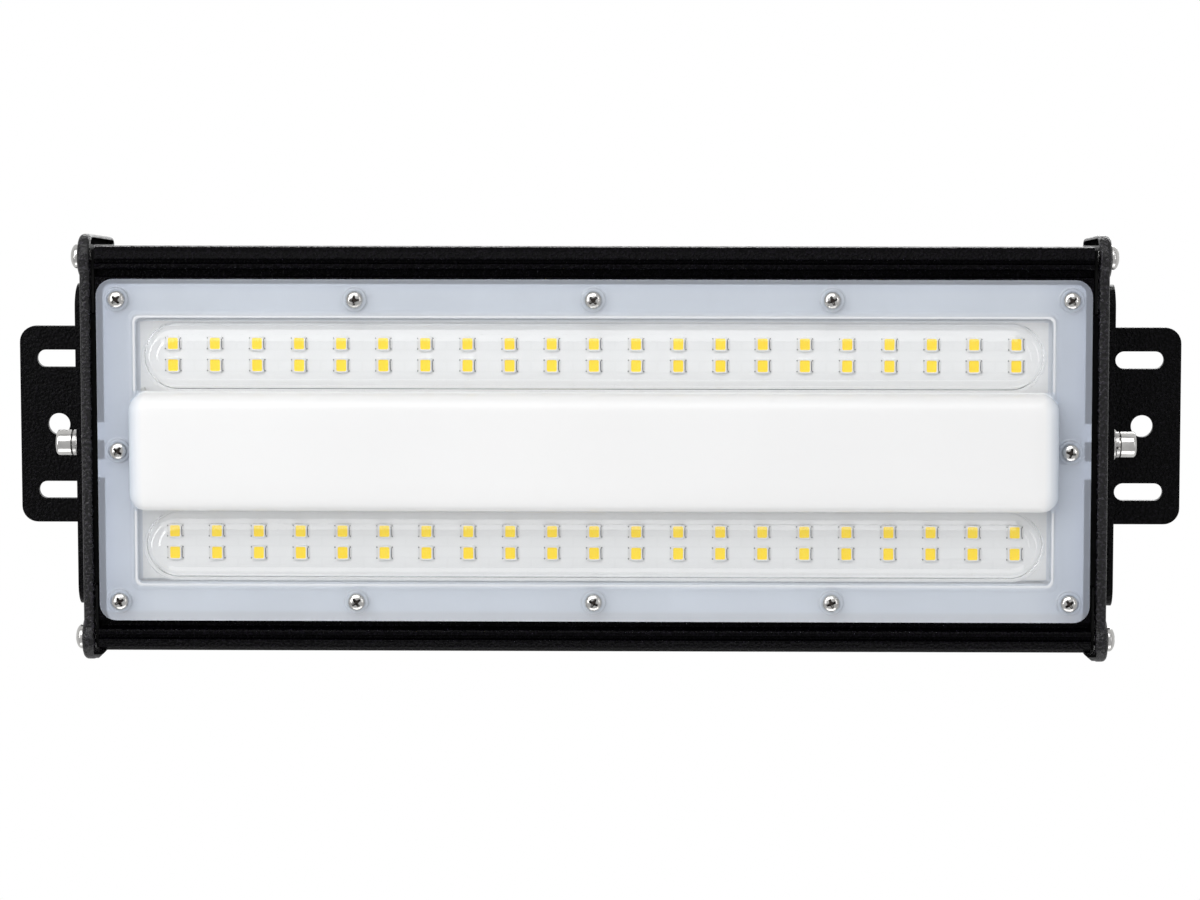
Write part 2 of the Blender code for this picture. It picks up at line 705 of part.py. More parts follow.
def build_body(model):
    """Extruded body with its pockets, fins, screw ports and drilled holes."""
    port_radius = M4_RADIUS + FIT_GAP
    loops = [at_levels(both_halves(body_half_outline()))]
    for place in screw_port_places():
        loops.append(circle(at_levels([place])[0], port_radius, HOLE_STEPS))
    mesh = prism(loops, -BODY_LENGTH / 2, BODY_LENGTH / 2, "X")
    body = model.add_piece("heatsink_body", mesh, "black_coat", model.lamp)
    drill = M3_RADIUS + FIT_GAP
    front = FACE_Z + LEDGE_DEPTH - OVERRUN
    bottom = FACE_Z + COVER_SCREW_REACH + FIT_GAP
    holes = [rod(place, front, bottom, drill, "Z") for place in cover_screw_places() if place[1]]
    for place_x in driver_screw_places():
        low = FACE_Z + CHANNEL_DEPTH - OVERRUN
        high = FACE_Z + CHANNEL_DEPTH + DRIVER_SCREW_BITE + FIT_GAP
        holes.append(rod((place_x, 0), low, high, drill, "Z"))
    model.shape(body, "DIFFERENCE", gathered(holes), "body_tapped_holes")
    clearing_low = GLAND_X - GLAND_HEX_WIDTH / math.sqrt(3) - FIN_CLEARING_MARGIN
    clearing_high = VENT_X + VENT_HEAD_RADIUS + FIN_CLEARING_MARGIN
    inner_half = CHANNEL_WIDTH / 2 - FIT_GAP
    clearing = block(
        (clearing_low, -inner_half, FACE_Z + FLOOR_BACK_DEPTH),
        (clearing_high, inner_half, FACE_Z + BODY_DEPTH + OVERRUN),
    )
    model.shape(body, "DIFFERENCE", clearing, "body_fin_clearing")
    low = FACE_Z + CHANNEL_DEPTH - OVERRUN
    high = FACE_Z + FLOOR_BACK_DEPTH + OVERRUN
    entries = [
        rod((GLAND_X, 0), low, high, GLAND_THREAD_RADIUS + FIT_GAP, "Z", LARGE_STEPS),
        rod((VENT_X, 0), low, high, VENT_THREAD_RADIUS + FIT_GAP, "Z", LARGE_STEPS),
    ]
    model.shape(body, "DIFFERENCE", gathered(entries), "body_gland_and_vent_holes")


# Cover and its gasket

def build_cover(model):
    """Moulded cover: flange, two clear strip domes, driver hump, window ridges and screw rings."""
    flange_back = FACE_Z + FLANGE_THICKNESS
    outline = rounded_rectangle(COVER_LENGTH / 2, COVER_WIDTH / 2, COVER_CORNER)
    cover = model.add_piece("lens_cover", prism([outline], FACE_Z, flange_back, "Z"), "cover", model.lamp)
    buried = FACE_Z + SEAM_OVERLAP
    raised = [
        rounded_prism(stadium((0, sign * DOME_OFFSET), DOME_LENGTH / 2, DOME_WIDTH / 2, DOME_END_STEPS),
                      FACE_Z - DOME_HEIGHT, buried, DOME_ROUNDING, ROUNDING_STEPS)
        for sign in ROWS.values()
    ]
    raised.append(rounded_prism(
        rounded_rectangle(HUMP_LENGTH / 2, HUMP_WIDTH / 2, HUMP_CORNER),
        FACE_Z - HUMP_HEIGHT, buried, HUMP_ROUNDING, ROUNDING_STEPS))
    for mesh, name in zip(raised, ("dome_upper", "dome_lower", "hump")):
        model.shape(cover, "UNION", mesh, "cover_" + name)
    window_start = HUMP_WIDTH / 2 - SEAM_OVERLAP
    window_half = (FRAME_WIDTH / 2 - window_start) / 2
    ridge_inner = rounded_rectangle(FRAME_LENGTH / 2, window_half, FRAME_RIDGE_WIDTH, RIDGE_CORNER_STEPS)
    ridge_outer = rounded_rectangle(
        FRAME_LENGTH / 2 + FRAME_RIDGE_WIDTH, window_half + FRAME_RIDGE_WIDTH,
        2 * FRAME_RIDGE_WIDTH, RIDGE_CORNER_STEPS)
    for row, sign in ROWS.items():
        ridge = prism([ridge_outer, ridge_inner], FACE_Z - FRAME_RIDGE_HEIGHT, buried, "Z")
        ridge.transform(Matrix.Translation((0, sign * (window_start + window_half), 0)))
        model.shape(cover, "UNION", ridge, "cover_%s_ridge" % row)
    inner = SCREW_RING_RADIUS - SCREW_RING_WALL
    rings = [
        prism([circle(place, SCREW_RING_RADIUS, HOLE_STEPS), circle(place, inner, HOLE_STEPS)],
              FACE_Z - SCREW_RING_HEIGHT, buried, "Z")
        for place in cover_screw_places()
    ]
    model.shape(cover, "UNION", gathered(rings), "cover_screw_rings")
    back = flange_back + OVERRUN
    hollows = [
        rounded_prism(
            stadium((0, sign * DOME_OFFSET), DOME_LENGTH / 2 - COVER_WALL, DOME_WIDTH / 2 - COVER_WALL,
                    DOME_END_STEPS),
            FACE_Z - DOME_HEIGHT + COVER_WALL, back, DOME_ROUNDING - COVER_WALL, ROUNDING_STEPS)
        for sign in ROWS.values()
    ]
    hollows.append(rounded_prism(
        rounded_rectangle(
            HUMP_LENGTH / 2 - COVER_WALL, HUMP_WIDTH / 2 - COVER_WALL, HUMP_CORNER - COVER_WALL),
        FACE_Z - HUMP_HEIGHT + COVER_WALL, back, HUMP_ROUNDING - COVER_WALL, ROUNDING_STEPS))
    model.shape(cover, "DIFFERENCE", gathered(hollows), "cover_hollows")
    model.shape(cover, "DIFFERENCE", cover_screw_holes(), "cover_holes")


def cover_screw_holes():
    """Cutter for the twelve screw holes through the flange and its gasket."""
    low = FACE_Z - OVERRUN
    high = FACE_Z + LEDGE_DEPTH + OVERRUN
    return gathered([rod(place, low, high, M3_RADIUS + FIT_GAP, "Z") for place in cover_screw_places()])


def build_cover_gasket(model):
    """Flat gasket under the flange, with tabs that reach its edge beside the end screws."""
    half_length = COVER_LENGTH / 2 - GASKET_EDGE_ACROSS
    half_width = COVER_WIDTH / 2 - GASKET_EDGE_ALONG
    outer = rounded_rectangle(half_length, half_width, GASKET_CORNER, GASKET_CORNER_STEPS)
    inner = rounded_rectangle(
        half_length - GASKET_BAND_WIDTH, half_width - GASKET_BAND_WIDTH,
        GASKET_CORNER, GASKET_CORNER_STEPS)
    low = FACE_Z + FLANGE_THICKNESS + FIT_GAP
    high = low + GASKET_THICKNESS
    band = prism([outer, inner], low, high, "Z")
    gasket = model.add_piece("lens_gasket", band, "gasket", model.lamp)
    tabs = []
    for side in SIDES.values():
        near, far = span(side, half_length - SEAM_OVERLAP, COVER_LENGTH / 2)
        for sign in ROWS.values():
            start, end = span(sign, GASKET_TAB_START, GASKET_TAB_START + GASKET_TAB_WIDTH)
            tabs.append(block((near, start, low), (far, end, high)))
    model.shape(gasket, "UNION", gathered(tabs), "gasket_tabs")
    model.shape(gasket, "DIFFERENCE", cover_screw_holes(), "gasket_holes")


# LED boards

def build_led_board(model, row, sign):
    """Board with two rows of LED packages, bonded to the body with a thermal pad."""
    front = FACE_Z + LED_FACE_DEPTH
    back = front + LED_BOARD_THICKNESS
    half_length = LED_BOARD_LENGTH / 2
    edges = (sign * DOME_OFFSET - LED_BOARD_WIDTH / 2, sign * DOME_OFFSET + LED_BOARD_WIDTH / 2)
    mesh = block((-half_length, edges[0], front), (half_length, edges[1], back))
    board = model.add_piece(row + "_led_board", mesh, "board", model.lamp)
    half_package = (LED_PACKAGE_LENGTH / 2, LED_PACKAGE_WIDTH / 2)
    packages = []
    for column in range(LED_COLUMNS):
        place_x = (column - (LED_COLUMNS - 1) / 2) * LED_PITCH
        for line in ROWS.values():
            place_y = sign * DOME_OFFSET + line * LED_ROW_SPACING / 2
            packages.append(block(
                (place_x - half_package[0], place_y - half_package[1], front - LED_PACKAGE_HEIGHT),
                (place_x + half_package[0], place_y + half_package[1], front + SEAM_OVERLAP)))
    model.shape(board, "UNION", gathered(packages), row + "_led_packages")
    pad_low = back + FIT_GAP
    pad = block(
        (-half_length + THERMAL_PAD_MARGIN, edges[0] + THERMAL_PAD_MARGIN, pad_low),
        (half_length - THERMAL_PAD_MARGIN, edges[1] - THERMAL_PAD_MARGIN,
         pad_low + THERMAL_PAD_THICKNESS))
    model.add_piece(row + "_thermal_pad", pad, "pad", model.lamp)


# End caps

def cap_half_outline():
    """Half of the end cap's outline: front edge, screw lug, tapering side and rear corner."""
    lug = (END_SCREW_OFFSET, END_SCREW_DEPTH)
    rear = (CAP_REAR_CORNER_OFFSET, CAP_BACK_DEPTH - CAP_REAR_CORNER_RADIUS)
    turn = tangent_angle(lug, CAP_LUG_RADIUS, rear, CAP_REAR_CORNER_RADIUS)
    start = -90 - math.degrees(math.acos((END_SCREW_DEPTH - CAP_FRONT_DEPTH) / CAP_LUG_RADIUS))
    half = arc(lug, CAP_LUG_RADIUS, start, turn, 2 * CORNER_STEPS)
    half += arc(rear, CAP_REAR_CORNER_RADIUS, turn, 90, CORNER_STEPS)
    return half


def body_envelope(growth, front, back):
    """Outer section of the body, grown by a clearance."""
    body_half = BODY_WIDTH / 2 + growth
    back_half = BODY_BACK_WIDTH / 2 + growth
    return [(body_half, front), (body_half, BODY_TAPER_DEPTH), (back_half, back)]


def build_end_cap(model, label, side):
    """Cast end cap with screw lugs, pivot pad, inner boss, lip and a tongue under the cover."""
    outline = at_levels(both_halves(cap_half_outline()))
    low, high = span(side, CAP_INNER_X - SEAM_OVERLAP, CAP_PLATE_X)
    cap = model.add_piece(label + "_end_cap", prism([outline], low, high, "X"), "black_cast", model.lamp)

    low, high = span(side, CAP_INNER_X - CAP_LIP_REACH, CAP_INNER_X)
    opening = at_levels(both_halves(body_envelope(CAP_LIP_GAP, -OVERRUN, BODY_DEPTH + CAP_LIP_GAP)))
    lip = prism([outline], low, high, "X")
    model.shape(cap, "UNION", lip, label + "_cap_lip")
    low, high = span(side, CAP_INNER_X - CAP_LIP_REACH - OVERRUN, CAP_INNER_X)
    model.shape(cap, "DIFFERENCE", prism([opening], low, high, "X"), label + "_cap_opening")

    low, high = span(side, CAP_INNER_X + SEAM_OVERLAP, CAP_LUG_X)
    lugs = [
        rod(at_levels([(sign * END_SCREW_OFFSET, END_SCREW_DEPTH)])[0],
            low, high, CAP_LUG_RADIUS, "X", LARGE_STEPS)
        for sign in ROWS.values()
    ]
    model.shape(cap, "UNION", gathered(lugs), label + "_cap_lugs")
    low, high = span(side, CAP_INNER_X + SEAM_OVERLAP, CAP_PAD_X)
    pad = arc((0, PIVOT_DEPTH), PIVOT_PAD_RADIUS, 180, 360, 2 * CORNER_STEPS)
    pad += arc((0, LOCK_DEPTH), PIVOT_PAD_RADIUS, 0, 180, 2 * CORNER_STEPS)
    model.shape(cap, "UNION", prism([at_levels(pad)], low, high, "X"), label + "_cap_pivot_pad")

    boss_x = CAP_INNER_X - PIVOT_BOSS_REACH
    low, high = span(side, boss_x, CAP_INNER_X + SEAM_OVERLAP)
    boss = rod((0, PIVOT_Z), low, high, PIVOT_BOSS_RADIUS, "X", LARGE_STEPS)
    model.shape(cap, "UNION", boss, label + "_cap_boss")
    low, high = span(side, CAP_INNER_X - CAP_TONGUE_REACH, CAP_INNER_X + SEAM_OVERLAP)
    tongue_half = POCKET_WIDTH / 2 - FIT_GAP
    tongue = block(
        (low, -tongue_half, FACE_Z + LEDGE_DEPTH),
        (high, tongue_half, FACE_Z + POCKET_DEPTH - FIT_GAP))
    model.shape(cap, "UNION", tongue, label + "_cap_tongue")

    outer = CAP_LUG_X + OVERRUN
    low, high = span(side, CAP_INNER_X - OVERRUN, outer)
    holes = [
        rod(place, low, high, M4_RADIUS + FIT_GAP, "X")
        for place in at_levels(screw_port_places() + [(0, LOCK_DEPTH)])
    ]
    low, high = span(side, boss_x + PIVOT_BOSS_FLOOR, outer)
    holes.append(rod((0, PIVOT_Z), low, high, M5_RADIUS + FIT_GAP, "X", LARGE_STEPS))
    holes.append(rod(
        (side * COVER_SCREW_END_X, 0), FACE_Z + LEDGE_DEPTH - OVERRUN,
        FACE_Z + POCKET_DEPTH + OVERRUN, M3_RADIUS + FIT_GAP, "Z"))
    model.shape(cap, "DIFFERENCE", gathered(holes), label + "_cap_holes")


def build_end_gasket(model, label, side):
    """Sheet gasket between the body and an end cap, notched for the tongue and the boss."""
    notch_half = PIVOT_BOSS_RADIUS + END_GASKET_NOTCH_GAP
    tongue_half = POCKET_WIDTH / 2 + FIT_GAP
    notch_back = PIVOT_DEPTH + PIVOT_BOSS_RADIUS + END_GASKET_NOTCH_GAP
    half = [
        (notch_half, notch_back),
        (notch_half, POCKET_DEPTH + FIT_GAP),
        (tongue_half, POCKET_DEPTH + FIT_GAP),
        (tongue_half, LEDGE_DEPTH),
    ]
    half += body_envelope(-END_GASKET_MARGIN, LEDGE_DEPTH, BODY_DEPTH - END_GASKET_MARGIN)
    loops = [at_levels(both_halves(half))]
    for place in at_levels(screw_port_places()):
        loops.append(circle(place, M4_RADIUS + FIT_GAP, HOLE_STEPS))
    near = BODY_LENGTH / 2 + FIT_GAP
    low, high = span(side, near, near + END_GASKET_THICKNESS)
    model.add_piece(label + "_end_gasket", prism(loops, low, high, "X"), "rubber", model.lamp)


# Brackets

def arm_half_outline():
    """Half of the arm's outline: rounded front corner and a taper to the foot's width."""
    corner = (ARM_WIDTH / 2 - ARM_CORNER, ARM_FRONT_DEPTH + ARM_CORNER)
    neck = (FOOT_WIDTH / 2, FACE_TO_FOOT - BEND_RADIUS)
    turn = tangent_angle(corner, ARM_CORNER, neck, 0)
    half = arc(corner, ARM_CORNER, -90, turn, CORNER_STEPS + 1)
    half += [neck, (FOOT_WIDTH / 2, FACE_TO_FOOT + SHEET_THICKNESS + OVERRUN)]
    return half


def sheet_outline(side):
    """Section of the bent sheet, as height and X: the arm, the bend and the foot."""
    inner_bend = (-SHEET_THICKNESS - BEND_RADIUS, ARM_OUTER_X + BEND_RADIUS)
    outer_radius = BEND_RADIUS + SHEET_THICKNESS
    points = [(FACE_Z + ARM_FRONT_DEPTH - OVERRUN, ARM_OUTER_X)]
    points += arc(inner_bend, BEND_RADIUS, 270, 360, CORNER_STEPS)
    points += [(-SHEET_THICKNESS, FOOT_END_X), (0, FOOT_END_X)]
    points += arc(inner_bend, outer_radius, 360, 270, CORNER_STEPS + 1)
    points.append((FACE_Z + ARM_FRONT_DEPTH - OVERRUN, ARM_INNER_X))
    return [(height, side * place_x) for height, place_x in points]


def foot_outline(side):
    """Plan of the sheet: full width at the arm, then the foot with its rounded corners."""
    arm_half = ARM_WIDTH / 2 + OVERRUN
    foot_half = FOOT_WIDTH / 2
    centre = (FOOT_END_X - FOOT_CORNER, foot_half - FOOT_CORNER)
    half = [(ARM_INNER_X - OVERRUN, arm_half), (ARM_OUTER_X + FIT_GAP, arm_half)]
    half.append((ARM_OUTER_X + FIT_GAP, foot_half))
    half += arc(centre, FOOT_CORNER, 90, 0, CORNER_STEPS)
    full = half + [(place_x, -across) for place_x, across in reversed(half)]
    return [(side * place_x, across) for place_x, across in full]


def arc_slot_outline():
    """Slot round the pivot that the lock screw runs in, as long as the tilt needs."""
    half_width = M4_RADIUS + FIT_GAP
    start = 90 - TILT_LIMIT_DEGREES
    end = 90 + TILT_LIMIT_DEGREES
    pivot = (0, PIVOT_DEPTH)
    first, last = arc(pivot, LOCK_RADIUS, start, end, 1)
    points = arc(pivot, LOCK_RADIUS + half_width, start, end, CORNER_STEPS)
    points += arc(last, half_width, end, end + 180, CORNER_STEPS)[1:-1]
    points += arc(pivot, LOCK_RADIUS - half_width, end, start, CORNER_STEPS)
    points += arc(first, half_width, start + 180, start + 360, CORNER_STEPS)[1:-1]
    return at_levels(points)


def build_bracket(model, label, side):
    """Bent sheet bracket: arm with pivot hole and arc slot, foot with two slots and a hole."""
    parent = model.right if label == "right" else None
    sheet = prism([sheet_outline(side)], -ARM_WIDTH / 2 - OVERRUN, ARM_WIDTH / 2 + OVERRUN, "Y")
    bracket = model.add_piece(label + "_bracket", sheet, "black_sheet", parent)
    low, high = span(side, ARM_INNER_X - OVERRUN, FOOT_END_X + OVERRUN)
    arm = prism([at_levels(both_halves(arm_half_outline()))], low, high, "X")
    model.shape(bracket, "INTERSECT", arm, label + "_arm_outline")
    plan = prism([foot_outline(side)], FACE_Z, OVERRUN, "Z")
    model.shape(bracket, "INTERSECT", plan, label + "_foot_outline")
    low, high = span(side, ARM_INNER_X - OVERRUN, ARM_OUTER_X + OVERRUN)
    arm_holes = [
        rod((0, PIVOT_Z), low, high, M5_RADIUS + FIT_GAP, "X", LARGE_STEPS),
        prism([arc_slot_outline()], low, high, "X"),
    ]
    model.shape(bracket, "DIFFERENCE", gathered(arm_holes), label + "_arm_holes")
    slot_x = FOOT_END_X - FOOT_SLOT_MARGIN - FOOT_SLOT_LENGTH / 2
    low = -SHEET_THICKNESS - OVERRUN
    foot_holes = [
        prism([stadium((side * slot_x, sign * FOOT_SLOT_OFFSET), FOOT_SLOT_LENGTH / 2,
                       FOOT_SLOT_WIDTH / 2, SLOT_END_STEPS)], low, OVERRUN, "Z")
        for sign in ROWS.values()
    ]
    hole_x = FOOT_END_X - FOOT_HOLE_MARGIN
    foot_holes.append(rod((side * hole_x, 0), low, OVERRUN, FOOT_HOLE_RADIUS, "Z", LARGE_STEPS))
    model.shape(bracket, "DIFFERENCE", gathered(foot_holes), label + "_foot_holes")


# Fasteners

def pan_head_screw(head_radius, head_height, shank_radius, shank_length, recess_reach, steps):
    """Pan head screw about Z, its head standing on the plane at zero, with a cross recess."""
    profile = [
        (0, head_height),
        (head_radius * HEAD_CROWN_SHARE, head_height),
        (head_radius, head_height * HEAD_SIDE_SHARE),
        (head_radius, 0),
        (shank_radius, 0),
        (shank_radius, -shank_length),
        (0, -shank_length),
    ]
    blade = recess_reach * RECESS_BLADE_SHARE
    tip = blade * RECESS_TAPER_SHARE
    cross = []
    for turn in range(4):
        angle = turn * math.pi / 2
        for out, aside in ((recess_reach, -tip), (recess_reach, tip), (blade, blade)):
            cross.append((
                out * math.cos(angle) - aside * math.sin(angle),
                out * math.sin(angle) + aside * math.cos(angle)))
    cutter = prism([cross], head_height - RECESS_DEPTH, head_height + OVERRUN, "Z")
    return cut_mesh(turned(profile, steps), cutter)


def cut_mesh(mesh, cutter_mesh):
    """Mesh with another cut out of it, made once so that copies can share it."""
    holder = bpy.data.objects.new("blank", mesh)
    cutter = bpy.data.objects.new("blank_cutter", cutter_mesh)
    for item in (holder, cutter):
        bpy.context.scene.collection.objects.link(item)
    step = holder.modifiers.new("cut", "BOOLEAN")
    step.operation = "DIFFERENCE"
    step.solver = "EXACT"
    step.object = cutter
    result = evaluated_mesh(holder)
    for item in (holder, cutter):
        bpy.data.objects.remove(item)
    weld(result)
    return result


def socket_head_screw(shank_length):
    """Socket cap screw about Z, with a rounded rim and a hexagon socket."""
    crown = arc(
        (M5_HEAD_RADIUS - M5_HEAD_ROUNDING, M5_HEAD_HEIGHT - M5_HEAD_ROUNDING),
        M5_HEAD_ROUNDING, 90, 0, ROUNDING_STEPS)
    profile = [(0, M5_HEAD_HEIGHT)] + crown + [
        (M5_HEAD_RADIUS, 0),
        (M5_RADIUS, 0),
        (M5_RADIUS, THREAD_TIP - shank_length),
        (M5_RADIUS - THREAD_TIP, -shank_length),
        (0, -shank_length),
    ]
    cutter = prism(
        [hexagon(M5_SOCKET_WIDTH)], M5_HEAD_HEIGHT - M5_SOCKET_DEPTH, M5_HEAD_HEIGHT + OVERRUN, "Z")
    return cut_mesh(turned(profile, BOLT_STEPS), cutter)


def shared_mesh(model, name, mesh, material):
    """Finish a mesh that several fasteners share."""
    mesh.name = name
    mesh.materials.clear()
    mesh.materials.append(model.materials[material])
    smooth(mesh)
    return mesh


def build_cover_screws(model):
    """Twelve pan head screws through the cover and its gasket."""
    mesh = pan_head_screw(
        M3_HEAD_RADIUS, M3_HEAD_HEIGHT, M3_RADIUS, COVER_SCREW_REACH + FIT_GAP,
        M3_RECESS_REACH, SCREW_STEPS)
    shared_mesh(model, "cover_screw", mesh, "steel")
    for index, place in enumerate(cover_screw_places(), start=1):
        name = "lens_screw_%02d" % index
        model.add_fastener(name, mesh, (*place, FACE_Z - FIT_GAP), DOWN)


def build_end_screws(model):
    """Four pan head screws through each end cap into the body's ports."""
    meshes = {}
    for depth, seat_x in ((END_SCREW_DEPTH, CAP_LUG_X), (REAR_SCREW_DEPTH, CAP_PLATE_X)):
        length = seat_x + FIT_GAP - BODY_LENGTH / 2 + END_SCREW_GRIP
        mesh = pan_head_screw(
            M4_HEAD_RADIUS, M4_HEAD_HEIGHT, M4_RADIUS, length, M4_RECESS_REACH, SCREW_STEPS)
        meshes[depth] = (shared_mesh(model, "end_screw", mesh, "steel"), seat_x + FIT_GAP)
    for label, side in SIDES.items():
        for index, (across, depth) in enumerate(screw_port_places(), start=1):
            mesh, seat_x = meshes[depth]
            name = "%s_cap_screw_%d" % (label, index)
            place = (side * seat_x, across, FACE_Z + depth)
            model.add_fastener(name, mesh, place, outward(side))


def build_pivot_fasteners(model):
    """Pivot bolt with flat and spring washers, and the lock screw with its washer."""
    hole = M5_RADIUS + FIT_GAP
    flat_low = ARM_OUTER_X + FIT_GAP
    spring_low = flat_low + PIVOT_WASHER_THICKNESS + FIT_GAP
    head_low = spring_low + SPRING_WASHER_THICKNESS + FIT_GAP
    lock_low = ARM_OUTER_X + FIT_GAP
    lock_head = lock_low + LOCK_WASHER_THICKNESS + FIT_GAP
    flat = ring(PIVOT_WASHER_RADIUS, hole, 0, PIVOT_WASHER_THICKNESS, BOLT_STEPS)
    spring = ring(SPRING_WASHER_RADIUS, hole, 0, SPRING_WASHER_THICKNESS, BOLT_STEPS)
    split = block(
        (0, -SPRING_WASHER_SPLIT / 2, -OVERRUN),
        (SPRING_WASHER_RADIUS + OVERRUN, SPRING_WASHER_SPLIT / 2, OVERRUN))
    spring = cut_mesh(spring, split)
    lock_washer = ring(LOCK_WASHER_RADIUS, M4_RADIUS + FIT_GAP, 0, LOCK_WASHER_THICKNESS, BOLT_STEPS)
    bolt_end = CAP_INNER_X - PIVOT_BOSS_REACH + PIVOT_BOSS_FLOOR + FIT_GAP
    bolt = socket_head_screw(head_low - bolt_end)
    lock = pan_head_screw(
        M4_HEAD_RADIUS, M4_HEAD_HEIGHT, M4_RADIUS, lock_head - CAP_INNER_X, M4_RECESS_REACH, SCREW_STEPS)
    stack = {
        "pivot_washer": (flat, flat_low, PIVOT_Z),
        "pivot_spring_washer": (spring, spring_low, PIVOT_Z),
        "pivot_bolt": (bolt, head_low, PIVOT_Z),
        "lock_washer": (lock_washer, lock_low, FACE_Z + LOCK_DEPTH),
        "lock_screw": (lock, lock_head, FACE_Z + LOCK_DEPTH),
    }
    for kind, (mesh, seat_x, height) in stack.items():
        shared_mesh(model, kind, mesh, "steel")
        for label, side in SIDES.items():
            model.add_fastener(label + "_" + kind, mesh, (side * seat_x, 0, height), outward(side))


# Driver

def driver_block(model, name, centre_x, size, material):
    """Box that stands on the driver board."""
    length, width, height = size
    bottom = FACE_Z + DRIVER_SEAT_DEPTH
    mesh = block(
        (centre_x - length / 2, -width / 2, bottom - height),
        (centre_x + length / 2, width / 2, bottom))
    return model.add_piece(name, mesh, material, model.lamp)


def build_driver_base(model):
    """Insulating tray in the channel, the driver board on it and the two screws."""
    half = CHANNEL_WIDTH / 2 - FIT_GAP
    floor = CHANNEL_DEPTH - FIT_GAP
    crest = floor - TRAY_HEIGHT
    outline = both_halves([
        (half - TRAY_WALL, TRAY_FLOOR_DEPTH),
        (half - TRAY_WALL, crest),
        (half, crest),
        (half, floor),
    ])
    tray_low = TRAY_CENTRE_X - TRAY_LENGTH / 2
    tray_mesh = prism([at_levels(outline)], tray_low, tray_low + TRAY_LENGTH, "X")
    tray = model.add_piece("driver_tray", tray_mesh, "film", model.lamp)
    board_low = FACE_Z + DRIVER_BOARD_DEPTH
    board_mesh = block(
        (TRAY_CENTRE_X - DRIVER_BOARD_LENGTH / 2, -DRIVER_BOARD_WIDTH / 2, board_low),
        (TRAY_CENTRE_X + DRIVER_BOARD_LENGTH / 2, DRIVER_BOARD_WIDTH / 2,
         board_low + DRIVER_BOARD_THICKNESS))
    board = model.add_piece("driver_board", board_mesh, "driver_board", model.lamp)
    holes = gathered([
        rod((place_x, 0), board_low - OVERRUN, FACE_Z + CHANNEL_DEPTH + OVERRUN,
            M3_RADIUS + FIT_GAP, "Z")
        for place_x in driver_screw_places()
    ])
    model.shape(tray, "DIFFERENCE", holes, "tray_holes")
    model.shape(board, "DIFFERENCE", holes.copy(), "driver_board_holes")
    length = CHANNEL_DEPTH + DRIVER_SCREW_BITE - DRIVER_SEAT_DEPTH
    mesh = pan_head_screw(
        M3_HEAD_RADIUS, M3_HEAD_HEIGHT, M3_RADIUS, length, M3_RECESS_REACH, SCREW_STEPS)
    shared_mesh(model, "driver_screw", mesh, "steel")
    for index, place_x in enumerate(driver_screw_places(), start=1):
        place = (place_x, 0, FACE_Z + DRIVER_SEAT_DEPTH)
        model.add_fastener("driver_screw_%d" % index, mesh, place, DOWN)


def build_driver_parts(model):
    """Transformer, capacitors, choke and terminal block on the driver board."""
    winding = driver_block(
        model, "transformer", TRANSFORMER_X,
        (TRANSFORMER_LENGTH, TRANSFORMER_WIDTH, TRANSFORMER_HEIGHT), "winding")
    bottom = FACE_Z + DRIVER_SEAT_DEPTH
    middle = bottom - TRANSFORMER_HEIGHT / 2
    core = block(
        (TRANSFORMER_X - CORE_LENGTH / 2, -CORE_WIDTH / 2, middle - CORE_HEIGHT / 2),
        (TRANSFORMER_X + CORE_LENGTH / 2, CORE_WIDTH / 2, middle + CORE_HEIGHT / 2))
    model.shape(winding, "UNION", core, "transformer_core")
    insets = {"input_capacitor": INPUT_CAPACITOR_INSET, "output_capacitor": OUTPUT_CAPACITOR_INSET}
    for name, inset in insets.items():
        profile = [
            (0, bottom),
            (CAPACITOR_RADIUS, bottom),
            (CAPACITOR_RADIUS, bottom - CAPACITOR_HEIGHT + CAPACITOR_RIM),
            (CAPACITOR_RADIUS - CAPACITOR_RIM, bottom - CAPACITOR_HEIGHT),
            (0, bottom - CAPACITOR_HEIGHT),
        ]
        mesh = turned(profile, LARGE_STEPS)
        mesh.transform(Matrix.Translation((TRAY_END_X - inset, 0, 0)))
        model.add_piece(name, mesh, "sleeve", model.lamp)
    build_choke(model, bottom)
    terminal_x = TRAY_END_X - TERMINAL_INSET
    terminal = driver_block(
        model, "terminal_block", terminal_x,
        (TERMINAL_LENGTH, TERMINAL_WIDTH, TERMINAL_HEIGHT), "terminal")
    face = terminal_x + TERMINAL_LENGTH / 2
    entries = []
    for way in range(TERMINAL_WAYS):
        across = (way - (TERMINAL_WAYS - 1) / 2) * TERMINAL_WIDTH / TERMINAL_WAYS
        entries.append(block(
            (face - TERMINAL_ENTRY_DEPTH, across - TERMINAL_ENTRY / 2,
             bottom - TERMINAL_ENTRY_LIFT - TERMINAL_ENTRY),
            (face + OVERRUN, across + TERMINAL_ENTRY / 2, bottom - TERMINAL_ENTRY_LIFT)))
    model.shape(terminal, "DIFFERENCE", gathered(entries), "terminal_entries")


def build_choke(model, bottom):
    """Toroidal choke that stands on its edge across the board."""
    bpy.ops.mesh.primitive_torus_add(
        major_radius=CHOKE_RADIUS, minor_radius=CHOKE_TUBE_RADIUS,
        major_segments=LARGE_STEPS, minor_segments=TUBE_STEPS)
    holder = bpy.context.object
    mesh = holder.data.copy()
    bpy.data.objects.remove(holder)
    smooth(mesh)
    centre_z = bottom - CHOKE_RADIUS - CHOKE_TUBE_RADIUS
    mesh.transform(Matrix.Translation((TRAY_END_X - CHOKE_INSET, 0, centre_z)) @ AXIS_TURNS["X"])
    model.add_piece("choke", mesh, "ferrite", model.lamp)


